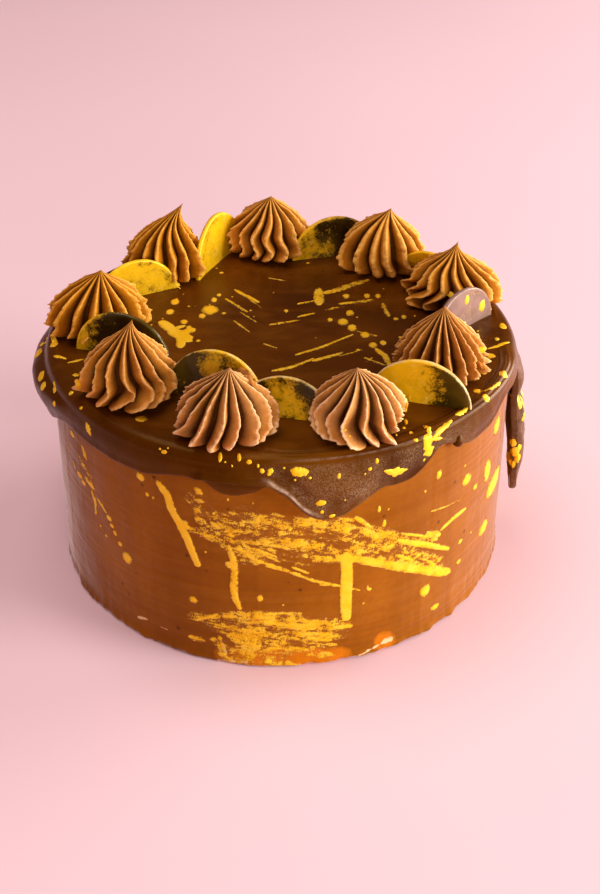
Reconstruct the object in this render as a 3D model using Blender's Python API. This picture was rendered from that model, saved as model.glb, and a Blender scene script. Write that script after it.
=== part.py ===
"""Round chocolate cake: a smooth buttercream drum, a ganache sheet that drapes over its rim,
nine star-piped swirls in a ring and a chocolate disc pushed into the top between each two.
Metres, +Z up, origin at the middle of the flat base, front of the cake towards -Y."""

import math

import bmesh
import bpy
from mathutils import Matrix, Vector

# Cake drum
CAKE_RADIUS = 0.0795
CAKE_HEIGHT = 0.0805
BASE_ROUND = 0.0015
TOP_ROUND = 0.0016
WALL_WAVE = 0.0003
CAKE_COLUMNS = 84

# Ganache sheet: it lies on the drum with a hairline gap and hangs down the wall in lobes
GAP = 0.0003
SHEET_TOP = 0.0835
SHEET_THICK = 0.0020
RIM_ROUND = 0.0026
BASE_DROP = 0.0052
LIP = 0.0007
SHEET_COLUMNS = 114
TOP_SHARES = (0.0, 0.45, 0.8)
RIM_TURNS = (0, 30, 60, 90)
SIDE_SHARES = (0.2, 0.42, 0.64, 0.84, 0.97)
INNER_SHARES = (0.03, 0.3, 0.6, 1.0)
UNDER_TURNS = (45, 90)
SHEET_ROWS = sum(map(len, (TOP_SHARES, RIM_TURNS, SIDE_SHARES, INNER_SHARES, UNDER_TURNS))) + 1

# Each lobe: angle and half width in degrees, then drop, flare and curl in metres, and the share
# of the drop where the flare is widest. Flare is how far the lobe's belly stands off the wall
# and curl how far its tip does. The first eight show from the front.
LOBES = (
    (-173, 32, 0.0210, 0.0046, 0.0005, 0.30),
    (-134, 24, 0.0120, 0.0006, 0.0000, 0.50),
    (-111, 19, 0.0090, 0.0004, 0.0000, 0.50),
    (-98, 12, 0.0133, 0.0006, 0.0000, 0.60),
    (-79, 14, 0.0205, 0.0028, 0.0018, 0.70),
    (-62, 12, 0.0142, 0.0008, 0.0000, 0.50),
    (-38, 14, 0.0106, 0.0008, 0.0000, 0.50),
    (0, 11, 0.0640, 0.0062, 0.0045, 0.74),
    (25, 15, 0.0120, 0.0010, 0.0000, 0.50),
    (51, 17, 0.0195, 0.0018, 0.0008, 0.70),
    (79, 15, 0.0110, 0.0006, 0.0000, 0.50),
    (106, 16, 0.0270, 0.0030, 0.0020, 0.75),
    (141, 20, 0.0150, 0.0010, 0.0000, 0.50),
)
LOBE_FULLNESS = 1.35

# Piped swirls: angle round the cake, distance from its axis, radius, height, shoulder (how full
# the dome is), twist and sway of the ridges in degrees, and how far the tip leans sideways
SWIRLS = (
    (134, 0.0635, 0.0156, 0.0250, 1.45, -14, 5, 0.0060),
    (95, 0.0660, 0.0166, 0.0223, 1.65, 10, 7, 0.0010),
    (55, 0.0646, 0.0166, 0.0223, 1.85, -12, 6, 0.0022),
    (24, 0.0676, 0.0182, 0.0190, 1.40, 16, 8, -0.0010),
    (-27, 0.0593, 0.0158, 0.0243, 1.30, -4, 2, 0.0004),
    (-69, 0.0684, 0.0152, 0.0223, 1.90, 18, 7, -0.0006),
    (-104, 0.0674, 0.0158, 0.0223, 1.75, 22, 4, 0.0012),
    (-139, 0.0640, 0.0164, 0.0240, 1.60, -6, 12, 0.0004),
    (178, 0.0638, 0.0174, 0.0218, 1.60, 12, 6, 0.0020),
)
RIDGES = 14
POINTS_PER_RIDGE = 3
VALLEY_AT_FOOT = 0.38
VALLEY_ABOVE = 0.27
FOOT_SHARE = 0.96
FOOT_RISE = 0.06
TIP_DRAW = 1.2
SWIRL_ROWS = (0.0, 0.08, 0.2, 0.36, 0.53, 0.69, 0.82, 0.91, 0.97)

# Chocolate discs: angle round the cake, distance from its axis, the way the face looks in
# degrees, lean back in degrees, and the height that shows above the ganache
DISCS = (
    (154, 0.0590, 300, 4, 0.0145),
    (115, 0.0600, 335, 2, 0.0195),
    (72, 0.0640, 280, 2, 0.0165),
    (37, 0.0684, 240, 0, 0.0115),
    (2, 0.0620, 318, 0, 0.0160),
    (-46, 0.0650, 255, 0, 0.0162),
    (-88, 0.0565, 256, 11, 0.0142),
    (-114, 0.0505, 250, 12, 0.0172),
    (-162.2, 0.0557, 254, 0, 0.0165),
)
DISC_RADIUS = 0.0170
DISC_THICK = 0.0018
DISC_EDGE = 0.0004
DISC_SIDES = 36
CUTTER_SIDES = 28
CUTTER_ROWS = 12


def polar(angle, distance, height):
    """A point by its angle in radians round the cake's axis."""
    return Vector((distance * math.cos(angle), distance * math.sin(angle), height))


def blend(start, end, share):
    return start + (end - start) * share


def wall(angle, height):
    """The buttercream wall's radius: a turned drum with the slight waves of a scraper."""
    wave = math.sin(3 * angle + 0.6) + 0.6 * math.sin(7 * angle + 1.9 + 25 * height)
    return CAKE_RADIUS + WALL_WAVE * wave


def bump(offset, half_width):
    """1 in the middle of a lobe, falling smoothly to 0 at its half width."""
    share = min(abs(offset) / half_width, 1.0)
    return math.cos(share**LOBE_FULLNESS * math.pi / 2) ** 2


def turn_between(angle, other):
    """The signed turn in degrees from one angle to another, both in degrees."""
    return (angle - other + 180) % 360 - 180


def drape(angle):
    """Drop, flare, curl and belly of the ganache sheet at an angle in radians."""
    degrees = math.degrees(angle)
    drop, flare, curl, belly, weight = BASE_DROP, 0.0, 0.0, 0.5, 1e-6
    for centre, half_width, deep, out, tip, share in LOBES:
        part = bump(turn_between(degrees, centre), half_width)
        drop += (deep - BASE_DROP) * part
        flare += out * part
        curl += tip * part
        belly += (share - belly) * part * part / (weight + part * part)
        weight += part * part
    return drop, flare, curl, belly


def stand_off(share, flare, curl, belly):
    """How far the sheet stands off the wall, at a share of its drop."""
    if share < belly:
        return flare * math.sin(share / belly * math.pi / 2)
    past = (share - belly) / (1 - belly)
    return curl + (flare - curl) * math.cos(past * math.pi / 2)


def cake_profile():
    """(radius share or None for the wall, height) up the drum, bottom pole first."""
    corner = [math.radians(a) for a in (0, 45, 90)]
    rows = [(0.0, 0.0)]
    rows += [(BASE_ROUND * (1 - math.sin(a)), BASE_ROUND * (1 - math.cos(a))) for a in corner]
    rows += [(0.0, CAKE_HEIGHT * share) for share in (0.25, 0.5, 0.75)]
    top = CAKE_HEIGHT - TOP_ROUND
    rows += [(TOP_ROUND * (1 - math.cos(a)), top + TOP_ROUND * math.sin(a)) for a in corner]
    rows += [(0.0, CAKE_HEIGHT)]
    return rows


def cake_point(u, row):
    """A point of the drum; the first and last rows are the poles."""
    rows = cake_profile()
    inset, height = rows[row]
    angle = u * math.tau
    at_pole = row in (0, len(rows) - 1)
    return polar(angle, 0.0 if at_pole else wall(angle, height) - inset, height)


def sheet_point(u, row):
    """A point of the ganache: over the top, round the rim, down the wall, and back inside."""
    angle = u * math.tau
    drop, flare, curl, belly = drape(angle)
    inside = wall(angle, SHEET_TOP) + GAP
    outside = inside + SHEET_THICK
    flat = outside - RIM_ROUND
    start = SHEET_TOP - RIM_ROUND
    side = drop - RIM_ROUND
    if row < len(TOP_SHARES):
        return polar(angle, flat * TOP_SHARES[row], SHEET_TOP)
    row -= len(TOP_SHARES)
    if row < len(RIM_TURNS):
        turn = math.radians(RIM_TURNS[row])
        out = RIM_ROUND * math.sin(turn)
        return polar(angle, flat + out, start + RIM_ROUND * math.cos(turn))
    row -= len(RIM_TURNS)
    if row < len(SIDE_SHARES):
        share = SIDE_SHARES[row]
        out = stand_off(share, flare, curl, belly)
        return polar(angle, outside + out, start - side * share)
    row -= len(SIDE_SHARES)
    if row == 0:
        return polar(angle, inside + SHEET_THICK / 2 + curl, SHEET_TOP - drop - LIP)
    row -= 1
    corner = CAKE_HEIGHT + GAP - TOP_ROUND
    if row < len(INNER_SHARES):
        height = blend(SHEET_TOP - drop, corner, INNER_SHARES[row])
        share = (start - height) / side
        out = stand_off(share, flare, curl, belly) * (1 - INNER_SHARES[row] ** 4)
        return polar(angle, inside + out, height)
    row -= len(INNER_SHARES)
    if row < len(UNDER_TURNS):
        turn = math.radians(UNDER_TURNS[row])
        inset = TOP_ROUND * (1 - math.cos(turn))
        return polar(angle, inside - inset, corner + TOP_ROUND * math.sin(turn))
    return Vector((0.0, 0.0, CAKE_HEIGHT + GAP))


def swirl_radius(share, shoulder):
    """The envelope of a piped swirl: a dome that draws in to a point, 1 at its widest."""
    dome = math.cos(math.pi / 2 * min(share, 1.0) ** shoulder) ** TIP_DRAW
    return dome * (1 - (1 - FOOT_SHARE) * math.exp(-share / FOOT_RISE))


def swirl_point(swirl, u, row):
    """A point of a swirl about the middle of its foot: star ridges, twisted and swaying."""
    _, _, radius, height, shoulder, twist, sway, tip_lean = swirl
    if row == 0:
        return Vector((0.0, 0.0, 0.0))
    if row > len(SWIRL_ROWS):
        return Vector((tip_lean, 0.0, height))
    share = SWIRL_ROWS[row - 1]
    ridge = u * RIDGES
    across = abs(ridge - round(ridge)) * 2
    valley = blend(VALLEY_AT_FOOT, VALLEY_ABOVE, min(share / 0.3, 1.0))
    reach = radius * swirl_radius(share, shoulder) * (1 - valley * math.sin(across * math.pi / 2))
    turn = math.radians(twist * share + sway * math.sin(math.tau * 1.15 * share))
    point = polar(u * math.tau + turn, reach, height * share)
    point.x += tip_lean * share**4
    return point


def envelope_point(swirl, u, row):
    """A point of the smooth cutter that clears a disc of a swirl's ridges."""
    _, _, radius, height, shoulder, _, _, tip_lean = swirl
    share = (row - 1) / (CUTTER_ROWS - 2)
    low, high = -0.002, height + 0.001
    if row == 0:
        return Vector((0.0, 0.0, low))
    if row > CUTTER_ROWS - 1:
        return Vector((tip_lean, 0.0, high))
    reach = radius * swirl_radius(share, shoulder) / math.cos(math.pi / CUTTER_SIDES) + 2 * GAP
    point = polar(u * math.tau, reach, blend(low, high, share) if row == 1 else height * share)
    point.x += tip_lean * share**4
    return point


def material(name, colour, roughness, metallic=0.0):
    made = bpy.data.materials.new(name)
    made.use_nodes = True
    shader = made.node_tree.nodes["Principled BSDF"]
    shader.inputs["Base Color"].default_value = (*colour, 1.0)
    shader.inputs["Roughness"].default_value = roughness
    shader.inputs["Metallic"].default_value = metallic
    return made


def object_from(name, bm, finish, collection):
    """A named object from a bmesh, with its faces pointing out and its round parts smooth."""
    bmesh.ops.recalc_face_normals(bm, faces=bm.faces)
    mesh = bpy.data.meshes.new(name)
    bm.to_mesh(mesh)
    bm.free()
    mesh.shade_smooth()
    mesh.set_sharp_from_angle(angle=math.radians(50))
    made = bpy.data.objects.new(name, mesh)
    if finish:
        mesh.materials.append(finish)
    collection.objects.link(made)
    return made


def wrapped_grid(columns, last_row, place):
    """A grid wrapped into a closed shape: place(u, row) is each vertex's point. The seam is
    welded, and so is each pole, where a whole row falls on one point."""
    bm = bmesh.new()
    bmesh.ops.create_grid(bm, x_segments=columns, y_segments=last_row, size=0.5)
    for vertex in bm.verts:
        u = round((vertex.co.x + 0.5) * columns) / columns
        row = round((vertex.co.y + 0.5) * last_row)
        vertex.co = place(u % 1.0, row)
    bmesh.ops.remove_doubles(bm, verts=bm.verts, dist=1e-7)
    return bm


def stand_at(made, angle_degrees, distance, height, heading=None):
    """Sets an object on the cake, turned by its heading, or to face out from the axis."""
    made.location = polar(math.radians(angle_degrees), distance, height)
    made.rotation_euler.z = math.radians(angle_degrees if heading is None else heading)


def add_cake(collection, finish):
    bm = wrapped_grid(CAKE_COLUMNS, len(cake_profile()) - 1, cake_point)
    return object_from("cake_drum", bm, finish, collection)


def add_sheet(collection, finish):
    bm = wrapped_grid(SHEET_COLUMNS, SHEET_ROWS, sheet_point)
    return object_from("ganache", bm, finish, collection)


def add_swirl(number, swirl, collection, finish):
    columns = RIDGES * POINTS_PER_RIDGE
    last_row = len(SWIRL_ROWS) + 1
    bm = wrapped_grid(columns, last_row, lambda u, row: swirl_point(swirl, u, row))
    made = object_from(f"swirl_{number}", bm, finish, collection)
    stand_at(made, swirl[0], swirl[1], SHEET_TOP + GAP, heading=0)
    return made


def add_cutter(number, swirl, collection):
    bm = wrapped_grid(CUTTER_SIDES, CUTTER_ROWS, lambda u, row: envelope_point(swirl, u, row))
    made = object_from(f"swirl_cutter_{number}", bm, None, collection)
    stand_at(made, swirl[0], swirl[1], SHEET_TOP + GAP, heading=0)
    made.hide_render = True
    made.display_type = "WIRE"
    return made


def add_disc(number, disc, collection, finish):
    """A disc on its edge, leaning back, with the half below the ganache left off."""
    angle, distance, heading, lean, shows = disc
    bm = bmesh.new()
    bmesh.ops.create_cone(
        bm,
        cap_ends=True,
        segments=DISC_SIDES,
        radius1=DISC_RADIUS,
        radius2=DISC_RADIUS,
        depth=DISC_THICK,
    )
    edges = [e for e in bm.edges if abs(e.verts[0].co.z - e.verts[1].co.z) < DISC_THICK / 2]
    bmesh.ops.bevel(bm, geom=edges, offset=DISC_EDGE, segments=1, affect="EDGES")
    lean_back = math.radians(90 - lean)
    upright = Matrix.Rotation(lean_back, 4, "Y")
    lift = Matrix.Translation((0.0, 0.0, (shows - DISC_RADIUS) * math.cos(math.radians(lean))))
    bm.transform(lift @ upright)
    plane = bm.verts[:] + bm.edges[:] + bm.faces[:]
    cut = bmesh.ops.bisect_plane(
        bm, geom=plane, plane_co=(0, 0, 0), plane_no=(0, 0, -1), clear_outer=True
    )
    rim = [e for e in cut["geom_cut"] if isinstance(e, bmesh.types.BMEdge)]
    bmesh.ops.holes_fill(bm, edges=rim)
    made = object_from(f"disc_{number}", bm, finish, collection)
    stand_at(made, angle, distance, SHEET_TOP + GAP, heading)
    return made


def cut_clear(made, cutters):
    """Cuts a disc clear of the swirls that it is pushed against."""
    for cutter in cutters:
        cut = made.modifiers.new(cutter.name, "BOOLEAN")
        cut.operation = "DIFFERENCE"
        cut.solver = "EXACT"
        cut.object = cutter


def near(disc, swirl):
    """True where a disc could touch a swirl."""
    a = polar(math.radians(disc[0]), disc[1], 0.0)
    b = polar(math.radians(swirl[0]), swirl[1], 0.0)
    return (a - b).length < DISC_RADIUS + swirl[2] + GAP


def clear_scene():
    for old in list(bpy.data.objects):
        bpy.data.objects.remove(old)


def main():
    clear_scene()
    cake = bpy.data.collections.new("chocolate_cake")
    helpers = bpy.data.collections.new("cutters")
    for collection in (cake, helpers):
        bpy.context.scene.collection.children.link(collection)
    buttercream = material("buttercream", (0.210, 0.082, 0.030), 0.50)
    ganache = material("ganache", (0.050, 0.018, 0.007), 0.32)
    piped = material("piped_buttercream", (0.300, 0.130, 0.058), 0.55)
    gilded = material("gilded_chocolate", (0.420, 0.250, 0.040), 0.38, metallic=0.3)
    add_cake(cake, buttercream)
    add_sheet(cake, ganache)
    cutters = []
    for number, swirl in enumerate(SWIRLS, 1):
        add_swirl(number, swirl, cake, piped)
        cutters.append(add_cutter(number, swirl, helpers))
    for number, disc in enumerate(DISCS, 1):
        made = add_disc(number, disc, cake, gilded)
        cut_clear(made, [c for c, swirl in zip(cutters, SWIRLS) if near(disc, swirl)])


main()
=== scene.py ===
"""The chocolate cake's looks: fine buttercream, ganache, piped swirls, gilded discs and gold
paint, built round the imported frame. Metres, +Z up, the photograph's side towards -Y."""

import math
from collections import namedtuple

import bpy
import numpy as np
from mathutils import Matrix, Vector
from mathutils.bvhtree import BVHTree


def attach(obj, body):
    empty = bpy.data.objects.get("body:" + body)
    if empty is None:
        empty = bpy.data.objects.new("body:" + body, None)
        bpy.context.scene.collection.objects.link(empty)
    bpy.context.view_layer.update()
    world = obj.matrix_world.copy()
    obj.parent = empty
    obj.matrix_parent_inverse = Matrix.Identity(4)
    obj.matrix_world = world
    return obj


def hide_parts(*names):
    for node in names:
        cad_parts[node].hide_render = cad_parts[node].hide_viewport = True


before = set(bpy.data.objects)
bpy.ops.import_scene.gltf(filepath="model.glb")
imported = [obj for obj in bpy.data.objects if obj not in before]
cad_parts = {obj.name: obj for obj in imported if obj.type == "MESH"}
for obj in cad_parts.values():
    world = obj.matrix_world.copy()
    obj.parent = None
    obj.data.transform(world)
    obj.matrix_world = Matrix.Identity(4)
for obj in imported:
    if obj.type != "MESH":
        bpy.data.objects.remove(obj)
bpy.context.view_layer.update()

# Cake drum, as in the solids
CAKE_RADIUS = 0.0795
CAKE_HEIGHT = 0.0805
BASE_ROUND = 0.0015
TOP_ROUND = 0.0016
WALL_WAVE = 0.0003

# Ganache sheet, as in the solids
GAP = 0.0003
SHEET_TOP = 0.0835
SHEET_THICK = 0.0020
BASE_DROP = 0.0052
LIP = 0.0007

# Each lobe: angle and half width in degrees, drop, flare and curl in metres, belly share
LOBES = (
    (-173, 32, 0.0210, 0.0046, 0.0005, 0.30),
    (-134, 24, 0.0120, 0.0006, 0.0000, 0.50),
    (-111, 19, 0.0090, 0.0004, 0.0000, 0.50),
    (-98, 12, 0.0133, 0.0006, 0.0000, 0.60),
    (-79, 14, 0.0205, 0.0028, 0.0018, 0.70),
    (-62, 12, 0.0142, 0.0008, 0.0000, 0.50),
    (-38, 14, 0.0106, 0.0008, 0.0000, 0.50),
    (0, 11, 0.0640, 0.0062, 0.0045, 0.74),
    (25, 15, 0.0120, 0.0010, 0.0000, 0.50),
    (51, 17, 0.0195, 0.0018, 0.0008, 0.70),
    (79, 15, 0.0110, 0.0006, 0.0000, 0.50),
    (106, 16, 0.0270, 0.0030, 0.0020, 0.75),
    (141, 20, 0.0150, 0.0010, 0.0000, 0.50),
)
LOBE_FULLNESS = 1.35

# Piped swirls. Turns are how far a ridge has turned, in degrees, at shares of the height.
# A high roundness gives fat ridges between narrow grooves, and a low one gives blades.
# Milk is how pale and pink the cream is.
Swirl = namedtuple(
    "Swirl",
    "angle milk distance radius height shoulder lean spike ridges roundness skew turns",
)
SWIRLS = (
    Swirl(134, 0.0, 0.0635, 0.0156, 0.025, 1.45, 0.006, 0.003, 15, 1.9, -0.1,
          ((0, -3), (0.4, 2), (1, -16))),
    Swirl(95, 0.15, 0.066, 0.0166, 0.0223, 1.65, 0.001, 0.0, 16, 2.0, 0.08,
          ((0, -5), (0.22, 7), (0.45, -4), (0.7, 4), (1, 0))),
    Swirl(55, 0.1, 0.0646, 0.0166, 0.0223, 1.85, 0.0022, 0.001, 14, 2.5, -0.08,
          ((0, 4), (0.3, -5), (1, -12))),
    Swirl(24, 0.1, 0.0676, 0.0182, 0.019, 1.4, -0.001, 0.003, 15, 1.9, 0.12,
          ((0, 9), (0.16, -9), (0.4, 11), (0.7, 0), (1, 10))),
    Swirl(-27, 0.45, 0.0593, 0.0158, 0.0243, 1.3, 0.0004, 0.0004, 18, 1.25, 0.05,
          ((0, 2), (0.2, -1), (1, -5))),
    Swirl(-69, 1.0, 0.0684, 0.0152, 0.0223, 1.9, -0.0006, 0.0002, 15, 1.25, -0.58,
          ((0, 13), (0.12, 6), (0.38, -8), (0.65, 0), (1, 10))),
    Swirl(-104, 0.9, 0.0674, 0.0158, 0.0223, 1.75, 0.0012, 0.0008, 15, 1.2, 0.5,
          ((0, -15), (0.12, -14), (0.36, -1), (0.6, 3), (1, 8))),
    Swirl(-139, 0.3, 0.064, 0.0164, 0.024, 1.6, 0.0004, 0.0028, 15, 1.35, 0.42,
          ((0, -16), (0.1, -11), (0.32, 10), (0.5, 1), (1, -4))),
    Swirl(178, 0.0, 0.0638, 0.0174, 0.0218, 1.6, 0.002, 0.0004, 15, 1.8, 0.15,
          ((0, -9), (0.3, 4), (1, 10))),
)
VALLEY_AT_FOOT = 0.50
VALLEY_ABOVE = 0.39
FOOT_SHARE = 0.93
FOOT_RISE = 0.06
NOSE_SHARE = 0.13
NOSE_LEAST = 0.10
TIP_DRAW = 1.2

# Ridges are this round at the foot, and have their own roundness from a share of the height up.
# Each crest has a lip, this wide in ridges, that stands up and is torn by shares of the ridge.
FOOT_ROUNDNESS = 3.4
ROUNDNESS_FROM = 0.24
CREST_HALF = 0.20
CREST_LIP = 0.11
CREST_TEAR = 0.11
FINE_TEAR = 0.9
TUCK_RISE = 0.045
LEAST_RADIUS = 0.00005

# Chocolate discs: angle, distance, heading and lean in degrees, height that shows
DISCS = (
    (154, 0.0590, 300, 4, 0.0145),
    (115, 0.0600, 335, 2, 0.0195),
    (72, 0.0640, 280, 2, 0.0165),
    (37, 0.0684, 240, 0, 0.0115),
    (2, 0.0620, 318, 0, 0.0160),
    (-46, 0.0650, 255, 0, 0.0162),
    (-88, 0.0565, 256, 11, 0.0142),
    (-114, 0.0505, 250, 12, 0.0172),
    (-162.2, 0.0557, 254, 0, 0.0165),
)
DISC_RADIUS = 0.0170
DISC_THICK = 0.0018

# Camera, fitted to the rim, the base and the sides in the photograph
PHOTO_WIDTH = 600
PHOTO_HEIGHT = 894
FOCAL_PIXELS = 1480.6
CAMERA_AT = (0.0068, -0.4544, 0.3296)
CAMERA_DOWN = 32.93
CAMERA_ROLL = 0.42
SENSOR = 36.0


# Helpers

def smooth(x):
    x = np.clip(x, 0.0, 1.0)
    return x * x * (3 - 2 * x)


def blend(start, end, share):
    return start + (end - start) * share


def hump(x, centre, width):
    """A bell of height 1 round a centre."""
    return np.exp(-(((x - centre) / width) ** 2))


def noise(x, y, seed, wrap=1024):
    """Smooth noise from -1 to 1, one cell to a unit; x repeats after wrap cells."""
    table = np.random.default_rng(seed).uniform(-1, 1, (1024, 256))
    xi, yi = np.floor(x).astype(int), np.floor(y).astype(int)
    fx, fy = smooth(x - xi), smooth(y - yi)
    x0, x1, y0, y1 = xi % wrap, (xi + 1) % wrap, yi % 256, (yi + 1) % 256
    low = blend(table[x0, y0], table[x1, y0], fx)
    high = blend(table[x0, y1], table[x1, y1], fx)
    return blend(low, high, fy)


def fractal(x, y, seed, wrap=64, octaves=3):
    """Noise with finer noise added, each octave half as high and half as long."""
    total, size = 0.0, 0.0
    for k in range(octaves):
        total = total + noise(x * 2**k, y * 2**k, seed + k, wrap * 2**k) / 2**k
        size += 0.5**k
    return total / size


def wall(angle, height):
    """The buttercream wall's radius, as in the solids."""
    wave = np.sin(3 * angle + 0.6) + 0.6 * np.sin(7 * angle + 1.9 + 25 * height)
    return CAKE_RADIUS + WALL_WAVE * wave


def link(name, data):
    made = bpy.data.objects.new(name, data)
    bpy.context.scene.collection.objects.link(made)
    return made


def mesh_object(name, verts, faces, finish, slot, **attributes):
    """A smooth mesh that rides on the one body. Its point attributes may stop short of its
    last points, which then have 0."""
    mesh = bpy.data.meshes.new(name)
    mesh.from_pydata(np.asarray(verts).tolist(), [], faces)
    mesh.materials.append(finish)
    mesh.shade_smooth()
    for key, values in attributes.items():
        values = np.asarray(values, np.float32).ravel()
        values = np.append(values, np.zeros(len(verts) - len(values), np.float32))
        mesh.attributes.new(key, "FLOAT", "POINT").data.foreach_set("value", values)
    made = link(name, mesh)
    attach(made, "root")
    return made


def grid_faces(rows, columns, wrap=True, base=0):
    """Faces of a grid stored row by row from vertex base, whose columns wrap round or don't."""
    steps = [(a, (a + 1) % columns) for a in range(columns if wrap else columns - 1)]
    lows = range(base, base + (rows - 1) * columns, columns)
    rows = [(low, low + columns) for low in lows]
    return [(low + a, low + b, high + b, high + a) for low, high in rows for a, b in steps]


def closed_faces(rows, columns, end_pole=True):
    """The same with wrapped columns and a fan from the first row to a pole, one more vertex
    after the grid's, and one from the last row to the next vertex."""
    ring = [(a, (a + 1) % columns) for a in range(columns)]
    pole, last = rows * columns, (rows - 1) * columns
    faces = grid_faces(rows, columns) + [(pole, b, a) for a, b in ring]
    if end_pole:
        faces += [(pole + 1, last + a, last + b) for a, b in ring]
    return faces


def flipped(faces):
    """The same faces, seen from their other side."""
    return [face[::-1] for face in faces]


def polar(angle, radius, height):
    height = np.broadcast_to(height, np.broadcast(angle, radius, height).shape)
    return np.stack([radius * np.cos(angle), radius * np.sin(angle), height], axis=-1)


# Node materials

class Nodes:
    """A short way to write a node tree: each call adds nodes and returns an output."""

    def __init__(self, name):
        self.material = bpy.data.materials.new(name)
        self.material.use_nodes = True
        self.tree = self.material.node_tree

    def put(self, socket, value):
        if isinstance(value, bpy.types.NodeSocket):
            self.tree.links.new(value, socket)
        else:
            socket.default_value = value

    def fill(self, node, **inputs):
        """Links or sets a node's inputs. An underscore stands for a space in a name."""
        for key, value in inputs.items():
            self.put(node.inputs[key.replace("_", " ")], value)
        return node

    def add(self, kind, **inputs):
        return self.fill(self.tree.nodes.new("ShaderNode" + kind), **inputs)

    def coords(self, scale=(1, 1, 1)):
        at = self.add("TexCoord").outputs["Object"]
        if scale == (1, 1, 1):
            return at
        return self.add("Mapping", Vector=at, Scale=scale).outputs[0]

    def noise(self, scale, detail=3.0, rough=0.55, stretch=(1, 1, 1), distortion=0.0):
        at = self.coords(stretch)
        look = dict(Scale=scale, Detail=detail, Roughness=rough, Distortion=distortion)
        return self.add("TexNoise", Vector=at, **look).outputs["Fac"]

    def cells(self, scale):
        return self.add("TexVoronoi", Vector=self.coords(), Scale=scale).outputs["Distance"]

    def attribute(self, name):
        made = self.add("Attribute")
        made.attribute_name = name
        return made.outputs["Fac"]

    def ramp(self, value, low, high, start=0.0, end=1.0):
        """value mapped from low..high to start..end, and held there beyond."""
        ends = dict(From_Min=low, From_Max=high, To_Min=start, To_Max=end)
        return self.add("MapRange", Value=value, **ends).outputs["Result"]

    def math(self, operation, a, b):
        made = self.add("Math")
        made.operation = operation
        self.put(made.inputs[0], a)
        self.put(made.inputs[1], b)
        return made.outputs[0]

    def times(self, a, b):
        return self.math("MULTIPLY", a, b)

    def plus(self, a, b):
        return self.math("ADD", a, b)

    def mix(self, share, a, b):
        made = self.add("Mix", Factor=share)
        made.data_type = "RGBA"
        for socket, value in ((made.inputs[6], a), (made.inputs[7], b)):
            self.put(socket, value if isinstance(value, bpy.types.NodeSocket) else (*value, 1.0))
        return made.outputs[2]

    def tint(self, colour, mask, share, other):
        """A colour with up to a share of another over it, where the mask is 1."""
        return self.mix(self.times(mask, share), colour, other)

    def patches(self, low, high, *look, **more):
        """Noise as a mask, 0 below its low level and 1 above its high one."""
        return self.ramp(self.noise(*look, **more), low, high)

    def swing(self, amount, *look):
        """Noise centred on 0."""
        return self.times(self.math("SUBTRACT", self.noise(*look), 0.5), amount)

    def bump(self, height, strength, distance, normal=None):
        made = self.add("Bump", Height=height, Strength=strength, Distance=distance)
        if normal:
            self.put(made.inputs["Normal"], normal)
        return made.outputs["Normal"]

    def finish(self, colour, roughness, normal, gloss, tint=(1, 1, 1), **more):
        """Fills the shader. gloss is its specular level and tint its specular tint."""
        shader = self.tree.nodes["Principled BSDF"]
        self.fill(shader, Base_Color=colour, Roughness=roughness, Normal=normal, **more)
        self.fill(shader, Specular_IOR_Level=gloss, Specular_Tint=(*tint, 1))
        return self.material


# Colours of the finishes, linear. A finish mixes the two that share a line.
WALL_COLOURS = (0.225, 0.055, 0.0006), (0.310, 0.083, 0.0024)
WALL_STREAK = (0.380, 0.120, 0.0080)
WALL_UPRIGHT = (0.165, 0.038, 0.0008)
WALL_GRAIN = (0.190, 0.043, 0.0010)
WALL_PIT_SHADE = (0.060, 0.013, 0.0008)
WASH = (0.600, 0.150, 0.0020)
CHIP = (0.900, 0.560, 0.280)
GANACHE_COLOURS = (0.052, 0.0105, 0.0004), (0.125, 0.0320, 0.0006)
GANACHE_SMEAR = (0.180, 0.052, 0.0030)
GANACHE_PAINTED_SHADE = (0.036, 0.0075, 0.0006)
GANACHE_DULL = (0.045, 0.0140, 0.0040)
GANACHE_BLOOM_GLINTS = (0.440, 0.265, 0.150)
GANACHE_PAINTED_HIGHLIGHT = (0.640, 0.430, 0.310)
PIPED_GROOVE_SHADE = (0.038, 0.0068, 0.0003)
PIPED_GRAIN = (0.280, 0.080, 0.0150)
GOLD_DEEP = (0.560, 0.235, 0.002)
GOLD_BRIGHT = (0.970, 0.485, 0.007)
GOLD_PALE_GLINTS = (1.000, 0.660, 0.065)
DISC_COLOURS = (0.026, 0.012, 0.0010), (0.110, 0.060, 0.0030)
DISC_GOLDS = (0.720, 0.350, 0.004), (1.000, 0.530, 0.004)
DISC_GOLD_PALE = (1.0, 0.68, 0.10)
DISC_RIM_PALE = (0.860, 0.600, 0.250)
DISC_PAINTED_GLARE = (0.320, 0.172, 0.135)
FLOOR_COLOURS = (0.860, 0.550, 0.575), (0.880, 0.575, 0.600)

# Piped cream from plain to milky: its deeper colour, its lighter one and its crests' painted highlight
PIPED_COLOURS = (
    ((0.460, 0.130, 0.0016), (0.600, 0.215, 0.0380)),
    ((0.620, 0.195, 0.0030), (0.800, 0.345, 0.0980)),
    ((0.880, 0.400, 0.0600), (0.960, 0.600, 0.3300)),
)


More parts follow.
